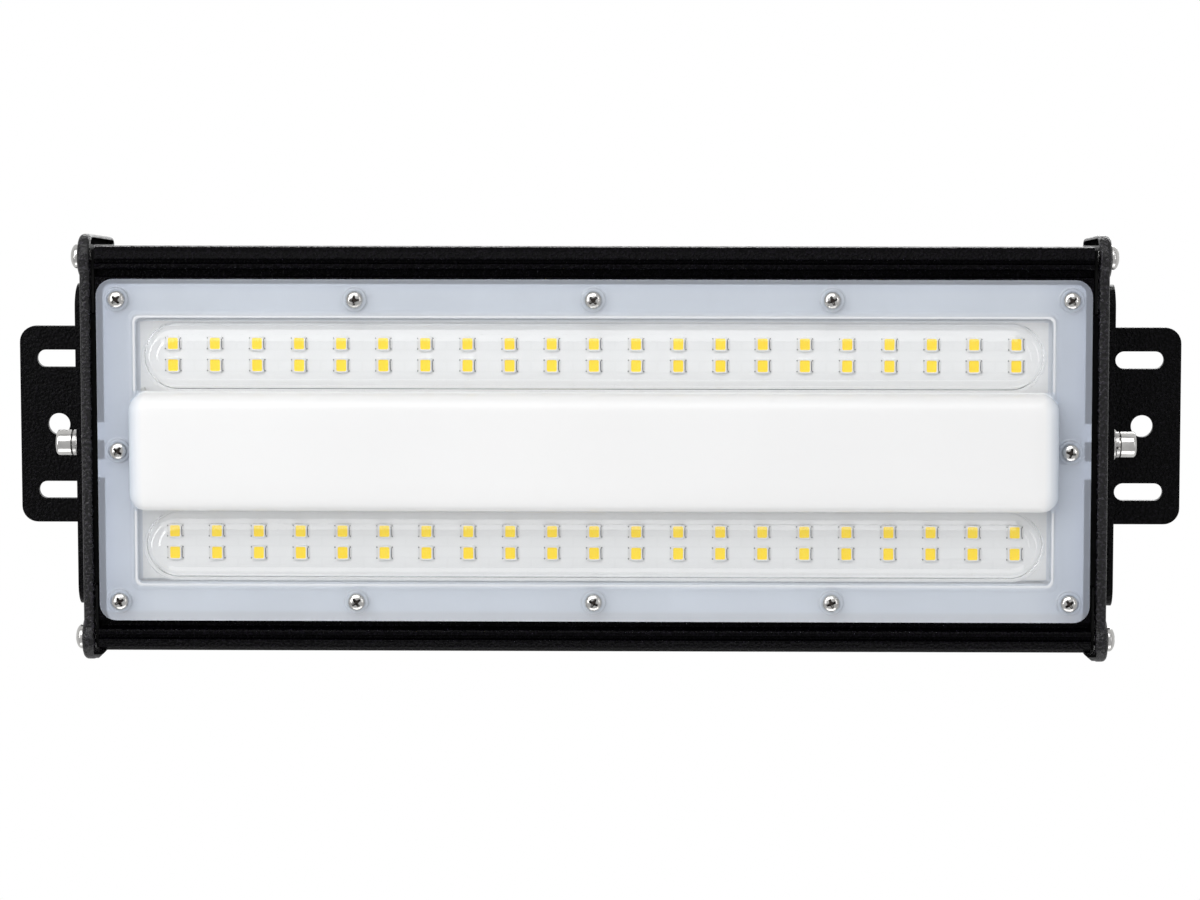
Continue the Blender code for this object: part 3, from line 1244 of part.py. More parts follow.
def lead_points(sign):
    """Smooth route that rises from the driver board's end and lies down on an LED board."""
    start_x = TRAY_CENTRE_X - DRIVER_BOARD_LENGTH / 2 + LEAD_START_INSET
    end_x = -LED_BOARD_LENGTH / 2 + LEAD_LANDING_INSET
    end_y = DOME_OFFSET - LED_BOARD_WIDTH / 2 + LEAD_LANDING_INSET
    run_depth = LED_FACE_DEPTH - FIT_GAP - LEAD_RADIUS
    corners = [
        (start_x, LEAD_START_OFFSET, DRIVER_SEAT_DEPTH),
        (start_x, LEAD_START_OFFSET, run_depth),
        (end_x, LEAD_TURN_OFFSET, run_depth),
        (end_x, end_y, run_depth),
    ]
    points = []
    for index in range(LEAD_STEPS + 1):
        after = index / LEAD_STEPS
        before = 1 - after
        shares = (before ** 3, 3 * before ** 2 * after, 3 * before * after ** 2, after ** 3)
        place = [sum(share * corner[axis] for share, corner in zip(shares, corners)) for axis in range(3)]
        points.append((place[0], sign * place[1], FACE_Z + place[2]))
    return points


def tube(points, radius):
    """Closed round tube along a list of points."""
    curve = bpy.data.curves.new("tube", "CURVE")
    curve.dimensions = "3D"
    curve.bevel_depth = radius
    curve.bevel_resolution = LEAD_RESOLUTION
    curve.use_fill_caps = True
    spline = curve.splines.new("POLY")
    spline.points.add(len(points) - 1)
    for point, place in zip(spline.points, points):
        point.co = (*place, 1)
    holder = bpy.data.objects.new("tube", curve)
    bpy.context.scene.collection.objects.link(holder)
    mesh = evaluated_mesh(holder)
    bpy.data.objects.remove(holder)
    bpy.data.curves.remove(curve)
    weld(mesh)
    return mesh


def build_leads(model):
    """One lead from the driver to each LED board."""
    for row, sign in ROWS.items():
        model.add_piece(row + "_led_lead", tube(lead_points(sign), LEAD_RADIUS), "lead", model.lamp)


# Cable gland and breather

def build_gland(model):
    """Cable gland through the channel floor: body, lock nut, seal and dome nut."""
    hex_low = FACE_Z + FLOOR_BACK_DEPTH + FIT_GAP
    hex_high = hex_low + GLAND_HEX_HEIGHT
    sleeve_high = hex_high + GLAND_SLEEVE_HEIGHT
    thread_low = FACE_Z + CHANNEL_DEPTH - GLAND_INNER_REACH
    place = Matrix.Translation((GLAND_X, 0, 0))

    flange = prism([hexagon(GLAND_HEX_WIDTH)], hex_low, hex_high, "Z")
    flange.transform(place)
    body = model.add_piece("gland_body", flange, "nylon", model.lamp)
    thread = rod((GLAND_X, 0), thread_low, hex_low + SEAM_OVERLAP, GLAND_THREAD_RADIUS, "Z", LARGE_STEPS)
    model.shape(body, "UNION", thread, "gland_thread")
    sleeve = rod((GLAND_X, 0), hex_high - SEAM_OVERLAP, sleeve_high, GLAND_SLEEVE_RADIUS, "Z", LARGE_STEPS)
    model.shape(body, "UNION", sleeve, "gland_sleeve")
    bore = rod((GLAND_X, 0), thread_low - OVERRUN, sleeve_high + OVERRUN, GLAND_BORE_RADIUS, "Z", LARGE_STEPS)
    model.shape(body, "DIFFERENCE", bore, "gland_bore")

    locknut_high = FACE_Z + CHANNEL_DEPTH - FIT_GAP
    locknut_hole = circle((0, 0), GLAND_THREAD_RADIUS + FIT_GAP, LARGE_STEPS)
    locknut = prism(
        [hexagon(GLAND_HEX_WIDTH), locknut_hole],
        locknut_high - GLAND_LOCKNUT_HEIGHT, locknut_high, "Z")
    locknut.transform(place)
    model.add_piece("gland_locknut", locknut, "nylon", model.lamp)

    seal_low = sleeve_high + FIT_GAP
    seal_high = seal_low + GLAND_SEAL_HEIGHT
    seal = ring(GLAND_SLEEVE_RADIUS, GLAND_BORE_RADIUS, seal_low, seal_high, LARGE_STEPS)
    seal.transform(place)
    model.add_piece("gland_seal", seal, "rubber", model.lamp)

    nut_low = hex_high + FIT_GAP
    roof = seal_high + FIT_GAP
    top = roof + GLAND_NUT_ROOF
    inner = GLAND_SLEEVE_RADIUS + FIT_GAP
    profile = [
        (GLAND_BORE_RADIUS, top),
        (GLAND_NUT_TOP_RADIUS, top),
        (GLAND_NUT_RADIUS, roof),
        (GLAND_NUT_RADIUS, nut_low),
        (inner, nut_low),
        (inner, roof),
        (GLAND_BORE_RADIUS, roof),
        (GLAND_BORE_RADIUS, top),
    ]
    nut = turned(profile, LARGE_STEPS)
    nut.transform(place)
    model.add_piece("gland_nut", nut, "nylon", model.lamp)


def build_vent(model):
    """Breather plug through the channel floor."""
    seat = FACE_Z + FLOOR_BACK_DEPTH + FIT_GAP
    top = seat + VENT_HEAD_HEIGHT
    bottom = FACE_Z + CHANNEL_DEPTH - VENT_INNER_REACH
    profile = [
        (0, top),
        (VENT_HEAD_RADIUS - VENT_HEAD_ROUNDING, top),
        (VENT_HEAD_RADIUS, top - VENT_HEAD_ROUNDING),
        (VENT_HEAD_RADIUS, seat),
        (VENT_THREAD_RADIUS, seat),
        (VENT_THREAD_RADIUS, bottom),
        (0, bottom),
    ]
    mesh = turned(profile, LARGE_STEPS)
    mesh.transform(Matrix.Translation((VENT_X, 0, 0)))
    model.add_piece("breather_plug", mesh, "nylon", model.lamp)


def main():
    """Build the whole light."""
    empty_scene()
    model = Model()
    build_body(model)
    build_cover(model)
    build_cover_gasket(model)
    for row, sign in ROWS.items():
        build_led_board(model, row, sign)
    for label, side in SIDES.items():
        build_end_gasket(model, label, side)
        build_end_cap(model, label, side)
        build_bracket(model, label, side)
    build_cover_screws(model)
    build_end_screws(model)
    build_pivot_fasteners(model)
    build_driver_base(model)
    build_driver_parts(model)
    build_leads(model)
    build_gland(model)
    build_vent(model)


main()
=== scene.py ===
"""Linear high bay light, seen from below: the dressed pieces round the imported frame.

Outlines and sizes are in millimetres and each finished mesh is brought to metres.
X runs along the light, +Z points up to the ceiling and -Y is the top of the picture.
Depths are measured up from the front of the cover's flange, which lies at FACE.
"""
import math

import bmesh
import bpy
from mathutils import Matrix, Vector


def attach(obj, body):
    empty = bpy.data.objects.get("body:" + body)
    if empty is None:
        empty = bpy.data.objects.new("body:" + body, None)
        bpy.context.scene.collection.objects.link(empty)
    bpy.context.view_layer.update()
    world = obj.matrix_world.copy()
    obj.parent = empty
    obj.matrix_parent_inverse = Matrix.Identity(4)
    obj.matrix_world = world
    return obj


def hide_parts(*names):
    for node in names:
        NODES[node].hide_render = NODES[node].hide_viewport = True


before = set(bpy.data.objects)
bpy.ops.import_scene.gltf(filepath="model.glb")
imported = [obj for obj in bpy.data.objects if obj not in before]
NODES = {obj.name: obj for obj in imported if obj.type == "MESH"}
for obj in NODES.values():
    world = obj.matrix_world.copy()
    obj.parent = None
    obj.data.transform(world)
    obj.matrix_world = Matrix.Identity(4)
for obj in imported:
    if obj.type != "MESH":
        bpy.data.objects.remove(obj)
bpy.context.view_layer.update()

MM = 0.001
JOIN_DISTANCE = 0.0005
FACE = -67.0
SIGNS = (-1, 1)
SIDES = {"left": -1, "right": 1}
ROWS = {"upper": -1, "lower": 1}
AXIS_TURNS = {
    "X": Matrix(((0, 0, 1, 0), (1, 0, 0, 0), (0, 1, 0, 0), (0, 0, 0, 1))),
    "Y": Matrix(((0, 1, 0, 0), (0, 0, 1, 0), (1, 0, 0, 0), (0, 0, 0, 1))),
    "Z": Matrix.Identity(4),
}

# Sizes that several pieces share. Places are along and across, or across and deep, and
# the cover's forms have a half length, a half width and a corner radius.
BODY_HALF_LENGTH = 162.2
BODY_HALF_WIDTH = 66.6
BODY_BACK_HALF = 63.2
BODY_DEPTH = 48.0
TAPER_DEPTH = 4.4
BASE_BACK = 13.7
CHANNEL_HALF = 17.25
CHANNEL_FLOOR = 34.0
CHANNEL_BACK = 36.5
CHANNEL_SEAT = FACE + CHANNEL_BACK + 0.3
POCKET_HALF = 44.5
POCKET_DEPTH = 9.7
LEDGE_DEPTH = 3.2
FIN_PITCH = 7.4
FIN_THICKNESS = 1.8
FIN_CLEARING = (96.1, 144.0)
PIVOT_DEPTH = 19.5
PIVOT = (0, FACE + PIVOT_DEPTH)
LOCK_DEPTH = 33.3
CAP_INNER = 163.6
CAP_PLATE = 167.2
CAP_RAISED = 167.8
CAP_CORNER = (BODY_BACK_HALF - 1.0, 46.0)
CAP_CORNER_RADIUS = 4.0
LUG_RADIUS = 7.35
ARM_INNER = 168.1
ARM_OUTER = 170.1
WASHER_SEAT = ARM_OUTER + 0.3
FOOT_END = 199.5
FOOT_HALF = 34.0
COVER_BACK = FACE + 2.0
FLANGE = (161.5, 56.0, 5.5)
HUMP = (150.6, 19.0, 5.5)
WINDOW = (148.7, 13.1)
WINDOW_OFFSET = 30.4
DOME = (146.5, 11.25)
DOME_OFFSET = 30.9
HUMP_FOOT = (150.96, 19.37)
WINDOW_FLOOR = (147.4, 42.2)
BOARD_DEPTH = 7.0
GLAND_X = 110.0
VENT_X = 134.5
COVER_SCREW = (154.7, 49.5)
END_SCREW = (62.8, 8.0)
REAR_SCREW = (58.0, 41.5)
COVER_BORE = 1.8
SCREW_BORE = 2.3
PIVOT_BORE = 2.8


# Outlines

def arc(centre, radius, start, end, steps):
    """Points along an arc, from one angle to the other, both in degrees."""
    points = []
    for index in range(steps + 1):
        angle = math.radians(start + (end - start) * index / steps)
        points.append((centre[0] + radius * math.cos(angle), centre[1] + radius * math.sin(angle)))
    return points


def circle(centre, radius, steps):
    """Points of a full circle."""
    return arc(centre, radius, 0, 360, steps)[:-1]


def rounded_rectangle(half_length, half_width, corner, steps=8, centre=(0, 0)):
    """Rectangle with rounded corners."""
    points = []
    for turn, sign_a, sign_b in ((0, 1, 1), (90, -1, 1), (180, -1, -1), (270, 1, -1)):
        middle = (centre[0] + sign_a * (half_length - corner),
                  centre[1] + sign_b * (half_width - corner))
        points += arc(middle, corner, turn, turn + 90, steps)
    return points


def stadium(centre, half_length, radius, steps=16):
    """Slot shape along the first axis, with round ends."""
    reach = half_length - radius
    first = arc((centre[0] + reach, centre[1]), radius, -90, 90, steps)
    return first + arc((centre[0] - reach, centre[1]), radius, 90, 270, steps)


def arc_slot(centre, radius, half_width, start, end):
    """Slot along an arc, with round ends."""
    ends = arc(centre, radius, start, end, 1)
    points = arc(centre, radius + half_width, start, end, 12)
    points += arc(ends[1], half_width, end, end + 180, 10)[1:-1]
    points += arc(centre, radius - half_width, end, start, 12)
    return points + arc(ends[0], half_width, start + 180, start + 360, 10)[1:-1]


def filleted(corners, steps):
    """Outline through corners given as two places and a radius."""
    points = []
    for index, (a, b, radius) in enumerate(corners):
        here = Vector((a, b))
        if radius <= 0:
            points.append((a, b))
            continue
        before = Vector(corners[index - 1][:2]) - here
        after = Vector(corners[(index + 1) % len(corners)][:2]) - here
        half_angle = before.angle(after) / 2
        reach = min(radius / math.tan(half_angle), before.length / 2.1, after.length / 2.1)
        start = here + before.normalized() * reach
        end = here + after.normalized() * reach
        for step in range(steps + 1):
            share = step / steps
            place = start.lerp(here, share).lerp(here.lerp(end, share), share)
            points.append(tuple(place))
    return points


def tangent_angle(first, first_radius, second, second_radius):
    """Angle of the outward normal of the line that touches two circles on their outer side."""
    step_a = second[0] - first[0]
    step_b = second[1] - first[1]
    turn = math.acos((first_radius - second_radius) / math.hypot(step_a, step_b))
    return math.degrees(math.atan2(step_b, step_a) - turn)


def mirrored(half):
    """Close a half outline, drawn at positive Y, with its mirror image."""
    return half + [(-point[0], *point[1:]) for point in reversed(half)]


def lifted(points, base=FACE):
    """Turn depths, or heights over a base, into heights."""
    return [(point[0], base + point[1], *point[2:]) for point in points]


def span(side, near, far):
    """Low and high X of a stretch on one side of the light."""
    return sorted((side * near, side * far))


# Meshes

def held(data, name="holder"):
    """Object in the scene that holds a mesh, a curve, a lamp or the camera."""
    item = bpy.data.objects.new(name, data)
    bpy.context.scene.collection.objects.link(item)
    return item


def released(holder):
    """Mesh of a short-lived object with its modifiers applied, and without the object."""
    graph = bpy.context.evaluated_depsgraph_get()
    mesh = bpy.data.meshes.new_from_object(holder.evaluated_get(graph))
    bpy.data.objects.remove(holder)
    return mesh


def worked(mesh, kind, **settings):
    """Mesh after one modifier."""
    holder = held(mesh)
    modifier = holder.modifiers.new(kind.lower(), kind)
    for key, value in settings.items():
        setattr(modifier, key, value)
    return released(holder)


def weld(mesh):
    """Join vertices that coincide, and point the faces out."""
    work = bmesh.new()
    work.from_mesh(mesh)
    bmesh.ops.remove_doubles(work, verts=work.verts, dist=JOIN_DISTANCE)
    bmesh.ops.recalc_face_normals(work, faces=work.faces)
    work.to_mesh(mesh)
    work.free()
    return mesh


def plate(loops, low, high, axis="Z", edge=0.0, edge_steps=2):
    """A flat outline with its holes, drawn out along an axis, with rounded rims."""
    curve = bpy.data.curves.new("outline", "CURVE")
    curve.dimensions = "2D"
    curve.fill_mode = "BOTH"
    curve.extrude = (high - low) / 2 - edge
    curve.bevel_depth = edge
    curve.offset = -edge
    curve.bevel_resolution = edge_steps
    for loop in loops:
        spline = curve.splines.new("POLY")
        spline.points.add(len(loop) - 1)
        for point, place in zip(spline.points, loop):
            point.co = (*place, 0, 1)
        spline.use_cyclic_u = True
    mesh = released(held(curve))
    bpy.data.curves.remove(curve)
    mesh.transform(AXIS_TURNS[axis] @ shift(z=(low + high) / 2))
    return weld(mesh)


def rod(place, radius, low, high, axis="Z", steps=40, edge=0.0, edge_steps=2):
    """Round bar along an axis, which also cuts bores."""
    return plate([circle(place, radius, steps)], low, high, axis, edge, edge_steps)


def block(low, high):
    """Box between two corners."""
    mesh = bpy.data.meshes.new("block")
    size = [top - bottom for bottom, top in zip(low, high)]
    centre = [(top + bottom) / 2 for bottom, top in zip(low, high)]
    work = bmesh.new()
    place = Matrix.Translation(centre) @ Matrix.Diagonal((*size, 1))
    bmesh.ops.create_cube(work, size=1, matrix=place)
    work.to_mesh(mesh)
    work.free()
    return mesh


def stacked(rings):
    """Closed skin through rings of points, all with as many points, from the first to the last."""
    mesh = bpy.data.meshes.new("stack")
    count = len(rings[0])
    faces = []
    for level in range(len(rings) - 1):
        for index in range(count):
            after = (index + 1) % count
            faces.append((
                level * count + index, level * count + after,
                (level + 1) * count + after, (level + 1) * count + index))
    faces.append(tuple(range(count)))
    faces.append(tuple(range((len(rings) - 1) * count, len(rings) * count)))
    mesh.from_pydata([point for ring in rings for point in ring], [], faces)
    return weld(mesh)


def moulded(outline, profile, *sizes):
    """Raised form whose outline is drawn for each (inset, height) of a profile."""
    return stacked([
        [(a, b, height) for a, b in outline(inset, *sizes)] for inset, height in profile])


def turned(profile, steps=40):
    """Shape turned about Z from a profile that runs down its outer side."""
    mesh = bpy.data.meshes.new("profile")
    edges = [(index, index + 1) for index in range(len(profile) - 1)]
    mesh.from_pydata([(radius, 0, height) for radius, height in profile], edges, [])
    return weld(worked(
        mesh, "SCREW", steps=steps, render_steps=steps, use_merge_vertices=True,
        merge_threshold=JOIN_DISTANCE))


def gathered(meshes):
    """Several meshes in one."""
    work = bmesh.new()
    for mesh in meshes:
        work.from_mesh(mesh)
    result = bpy.data.meshes.new("gathered")
    work.to_mesh(result)
    work.free()
    return result


def shaped(mesh, *operations):
    """Mesh after Booleans, each given as an operation and its meshes."""
    holder = held(mesh)
    tools = []
    for operation, *tool_meshes in operations:
        for tool_mesh in tool_meshes:
            tools.append(held(tool_mesh))
            step = holder.modifiers.new(operation.lower(), "BOOLEAN")
            step.operation = operation
            step.solver = "EXACT"
            step.object = tools[-1]
    result = released(holder)
    for tool in tools:
        bpy.data.objects.remove(tool)
    return weld(result)


def moved(mesh, *matrices):
    """Copy of a mesh, moved by matrices in turn."""
    copy = mesh.copy()
    for matrix in matrices:
        copy.transform(matrix)
    return copy


def shift(x=0, y=0, z=0):
    """Matrix of a move."""
    return Matrix.Translation((x, y, z))


def softened(mesh, width, angle=40):
    """Mesh with its edges rounded."""
    return worked(
        mesh, "BEVEL", width=width, segments=2, limit_method="ANGLE",
        angle_limit=math.radians(angle), harden_normals=False, miter_outer="MITER_ARC")


# Nodes and geometry trees

def put(tree, kind, inputs=None, **settings):
    """Add a node, set its options, and set or link its inputs."""
    node = tree.nodes.new(kind)
    for key, value in settings.items():
        setattr(node, key, value)
    for key, value in (inputs or {}).items():
        if isinstance(value, bpy.types.NodeSocket):
            tree.links.new(value, node.inputs[key])
        else:
            node.inputs[key].default_value = value
    return node


def made(tree, kind, inputs=None, **settings):
    """First output of a new node."""
    return put(tree, kind, inputs, **settings).outputs[0]


def maths(tree, operation, *values):
    """Outcome of one sum on values or sockets."""
    return made(tree, "ShaderNodeMath", dict(enumerate(values)), operation=operation)


def along(tree, axis, value):
    """Vector along one axis."""
    return made(tree, "ShaderNodeCombineXYZ", {axis: value})


def by_chance(tree, given, least, most):
    """Random value between two limits for each copy."""
    node = put(tree, "FunctionNodeRandomValue", {
        2: least, 3: most, "Seed": given["Seed"]}, data_type="FLOAT")
    return node.outputs[1]


def copies(tree, given, points, **turn):
    """Copies of the given piece at points."""
    piece = put(tree, "GeometryNodeObjectInfo", {"Object": given["Piece"]})
    return made(tree, "GeometryNodeInstanceOnPoints", {
        "Points": points, "Instance": piece.outputs["Geometry"], **turn})


def new_tree(name, sizes):
    """Geometry tree with a geometry input and named inputs for its sizes."""
    tree = bpy.data.node_groups.new(name, "GeometryNodeTree")
    face = tree.interface
    face.new_socket("Geometry", in_out="INPUT", socket_type="NodeSocketGeometry")
    for label, kind in sizes.items():
        face.new_socket(label, in_out="INPUT", socket_type="NodeSocket" + kind)
    face.new_socket("Geometry", in_out="OUTPUT", socket_type="NodeSocketGeometry")
    return tree, put(tree, "NodeGroupInput").outputs


def close_tree(tree, instances, given):
    """End a tree in real geometry with one material."""
    real = made(tree, "GeometryNodeRealizeInstances", {"Geometry": instances})
    dressed = made(tree, "GeometryNodeSetMaterial", {
        "Geometry": real, "Material": given["Material"]})
    put(tree, "NodeGroupOutput", {"Geometry": dressed})
    return tree


def scatter_tree():
    """A piece set at every point of the given mesh, each turned a little about one axis."""
    tree, given = new_tree("set_at_points", {
        "Piece": "Object", "Axis": "Vector", "Least Turn": "Float", "Most Turn": "Float",
        "Seed": "Int", "Material": "Material"})
    angle = by_chance(tree, given, given["Least Turn"], given["Most Turn"])
    turn = made(tree, "ShaderNodeVectorMath", {
        0: given["Axis"], "Scale": angle}, operation="SCALE")
    return close_tree(tree, copies(tree, given, given["Geometry"], Rotation=turn), given)


def row_tree():
    """Copies of a piece in a row, a pitch apart along Y, from a start."""
    tree, given = new_tree("row_along_y", {
        "Piece": "Object", "Count": "Int", "Pitch": "Float", "Start": "Float",
        "Material": "Material"})
    line = made(tree, "GeometryNodeMeshLine", {
        "Count": given["Count"], "Start Location": along(tree, "Y", given["Start"]),
        "Offset": along(tree, "Y", given["Pitch"])}, mode="OFFSET", count_mode="TOTAL")
    return close_tree(tree, copies(tree, given, line), given)


def grid_tree():
    """Copies of a piece in columns and lines, each with its own small turn and warmth."""
    tree, given = new_tree("grid_of_packages", {
        "Piece": "Object", "Columns": "Int", "Lines": "Int", "Pitch": "Float",
        "Line Spacing": "Float", "Seed": "Int", "Material": "Material"})
    sizes = [
        maths(tree, "MULTIPLY", maths(tree, "SUBTRACT", given[count], 1.0), given[gap])
        for count, gap in (("Columns", "Pitch"), ("Lines", "Line Spacing"))
    ]
    grid = made(tree, "GeometryNodeMeshGrid", {
        "Size X": sizes[0], "Size Y": sizes[1],
        "Vertices X": given["Columns"], "Vertices Y": given["Lines"]})
    turn = along(tree, "Z", by_chance(tree, given, -0.012, 0.012))
    marked = made(tree, "GeometryNodeStoreNamedAttribute", {
        "Geometry": copies(tree, given, grid, Rotation=turn), "Name": "warmth",
        "Value": by_chance(tree, given, 0.0, 1.0)}, data_type="FLOAT", domain="INSTANCE")
    return close_tree(tree, marked, given)


def round_tree():
    """Copies of a piece round the Z axis, each turned to face out."""
    tree, given = new_tree("copies_round_axis", {
        "Piece": "Object", "Count": "Int", "Material": "Material"})
    points = made(tree, "GeometryNodePoints", {"Count": given["Count"]})
    share = maths(tree, "DIVIDE", made(tree, "GeometryNodeInputIndex"), given["Count"])
    turn = along(tree, "Z", maths(tree, "MULTIPLY", share, math.tau))
    return close_tree(tree, copies(tree, given, points, Rotation=turn), given)


def coil_tree():
    """Square wire wound once round Z with a gap, as a spring washer is."""
    tree, given = new_tree("spring_coil", {
        "Radius": "Float", "Turns": "Float", "Lift": "Float", "Wire Width": "Float",
        "Wire Height": "Float", "Material": "Material"})
    spiral = made(tree, "GeometryNodeCurveSpiral", {
        "Resolution": 56, "Rotations": given["Turns"], "Start Radius": given["Radius"],
        "End Radius": given["Radius"], "Height": given["Lift"]})
    level = made(tree, "GeometryNodeSetCurveNormal", {"Curve": spiral}, mode="Z_UP")
    wire = made(tree, "GeometryNodeCurvePrimitiveQuadrilateral", {
        "Width": given["Wire Width"], "Height": given["Wire Height"]})
    skin = made(tree, "GeometryNodeCurveToMesh", {
        "Curve": level, "Profile Curve": wire, "Fill Caps": True})
    return close_tree(tree, skin, given)


TREES = {
    "scatter": scatter_tree(),
    "row": row_tree(),
    "grid": grid_tree(),
    "round": round_tree(),
    "coil": coil_tree(),
}


def grown(kind, finish, mesh=None, piece=None, **sizes):
    """Plain mesh that a geometry tree makes from its inputs, in one finish."""
    tree = TREES[kind]
    holder = held(mesh or bpy.data.meshes.new("start"))
    modifier = holder.modifiers.new(kind, "NODES")
    modifier.node_group = tree
    template = held(piece) if piece else None
    sizes.update(Material=FINISHES[finish], Piece=template)
    for item in tree.interface.items_tree:
        label = item.name.replace(" ", "_")
        if item.in_out == "INPUT" and label in sizes:
            modifier[item.identifier] = sizes[label]
    holder.update_tag()
    result = released(holder)
    if template:
        bpy.data.objects.remove(template)
    return result


# Materials

def new_shader(name, colour, roughness, values=None):
    """Material with a Principled shader, and the place that its patterns read."""
    material = bpy.data.materials.new(name)
    material.use_nodes = True
    material.diffuse_color = (*colour, 1)
    tree = material.node_tree
    shader = tree.nodes["Principled BSDF"]
    values = {"Base Color": (*colour, 1), "Roughness": roughness, **(values or {})}
    for label, value in values.items():
        shader.inputs[label].default_value = value
    return material, tree, shader, put(tree, "ShaderNodeTexCoord").outputs["Object"]


def noise(tree, place, size, detail=2.0, stretch=None):
    """Noise whose grains are about a size in millimetres."""
    if stretch:
        place = made(tree, "ShaderNodeMapping", {"Vector": place, "Scale": stretch})
    node = put(tree, "ShaderNodeTexNoise", {
        "Vector": place, "Scale": 1 / (size * MM), "Detail": detail})
    return node.outputs["Fac"]


def ranged(tree, value, low, high, start=0.3, end=0.7):
    """Value brought to a range."""
    return made(tree, "ShaderNodeMapRange", {
        "Value": value, "From Min": start, "From Max": end, "To Min": low, "To Max": high})


def mixed(tree, share, first, second):
    """Two colours mixed by a share."""
    colours = [
        colour if isinstance(colour, bpy.types.NodeSocket) else (*colour, 1)
        for colour in (first, second)
    ]
    node = put(tree, "ShaderNodeMix", {0: share, 6: colours[0], 7: colours[1]}, data_type="RGBA")
    return node.outputs[2]


def scaled(colour, share):
    """Colour made lighter or darker."""
    return tuple(channel * share for channel in colour)


def clouded(tree, value, colour, low, high, start=0.3, end=0.7):
    """Colour that goes from one share of itself to another as a value rises."""
    share = ranged(tree, value, 0, 1, start, end)
    return mixed(tree, share, scaled(colour, low), scaled(colour, high))


def outwards(tree, place, axis, near, far, side=0):
    """Share that rises between two distances in metres from the middle, on one side or both."""
    part = put(tree, "ShaderNodeSeparateXYZ", {0: place}).outputs[axis]
    out = maths(tree, "MULTIPLY", part, float(side)) if side else maths(tree, "ABSOLUTE", part)
    return ranged(tree, out, 0, 1, near, far)


def dress(tree, shader, tint, gloss, height, depth):
    """Link a colour, a roughness and a relief of a depth in millimetres to a shader."""
    relief = made(tree, "ShaderNodeBump", {
        "Height": height, "Distance": depth * MM, "Strength": 1.0})
    sockets = {"Base Color": tint, "Roughness": gloss, "Normal": relief}
    for label, socket in sockets.items():
        if socket is not None:
            tree.links.new(socket, shader.inputs[label])


def powder_coat(name, colour, painted_glint, roughness, grain, relief, level):
    """Textured coat: pebbled relief with painted glints that lighten its peaks, and uneven gloss.
    """
    material, tree, shader, place = new_shader(
        name, colour, roughness, {"Specular IOR Level": level})
    pebble = noise(tree, place, grain, 3.0)
    # Painted highlight: the colour is lifted many times over on the pebble tops and dimmed a little
    # in their hollows, as glints on the grain would look.
    tint = clouded(tree, pebble, colour, 0.6, painted_glint, 0.5, 0.68)
    gloss = ranged(tree, noise(tree, place, 22.0), roughness - 0.05, roughness + 0.07)
    dress(tree, shader, tint, gloss, pebble, relief)
    return material


def plain_plastic(name, colour, roughness, grain, relief, variation=0.12, level=0.5):
    """Moulded or coated surface with a fine grain and slight colour change."""
    material, tree, shader, place = new_shader(
        name, colour, roughness, {"Specular IOR Level": level})
    fine = noise(tree, place, grain, 3.0)
    tint = clouded(tree, noise(tree, place, 9.0), colour, 1 - variation, 1 + variation / 2)
    gloss = ranged(tree, fine, roughness - 0.06, roughness + 0.08)
    dress(tree, shader, tint, gloss, fine, relief)
    return material


def turned_steel(name, colour, roughness, stretch):
    """Machined steel with fine tool marks, and painted shade that darkens the recess of a screw."""
    material, tree, shader, place = new_shader(name, colour, roughness, {"Metallic": 1.0})
    marks = noise(tree, place, 0.4, 4.0, stretch)
    tint = clouded(tree, noise(tree, place, 2.5), colour, 0.86, 1)
    # Painted shade: faces marked as deep in a screw's recess take a dark brown-grey.
    recess = put(tree, "ShaderNodeAttribute", attribute_name="recess").outputs["Fac"]
    tint = mixed(tree, recess, tint, (0.07, 0.06, 0.055))
    gloss = ranged(tree, marks, roughness - 0.08, roughness + 0.12)
    dress(tree, shader, tint, gloss, marks, 0.01)
    return material


def let_lamps_through(tree, shader, passing, share):
    """Let lamp and bounce light pass straight through a clear or frosted wall."""
    path = put(tree, "ShaderNodeLightPath").outputs
    either = maths(tree, "MAXIMUM", path["Is Shadow Ray"], path["Is Diffuse Ray"])
    open_side = made(tree, "ShaderNodeBsdfTransparent", {"Color": (*passing, 1)})
    blend = made(tree, "ShaderNodeMixShader", {
        0: maths(tree, "MULTIPLY", either, share), 1: shader.outputs[0], 2: open_side})
    tree.links.new(blend, tree.nodes["Material Output"].inputs["Surface"])


def clear_polycarbonate():
    """Clear glossy wall of the strip domes."""
    material, tree, shader, place = new_shader("clear_polycarbonate", (0.995, 1, 1), 0.02, {
        "IOR": 1.03, "Transmission Weight": 1.0,
        "Coat Weight": 1.0, "Coat Roughness": 0.03, "Coat IOR": 1.62})
    flow = noise(tree, place, 14.0, 1.0, (0.35, 1, 1))
    dress(tree, shader, None, ranged(tree, flow, 0.01, 0.04), flow, 0.02)
    let_lamps_through(tree, shader, (0.99, 0.995, 1.0), 1.0)
    return material


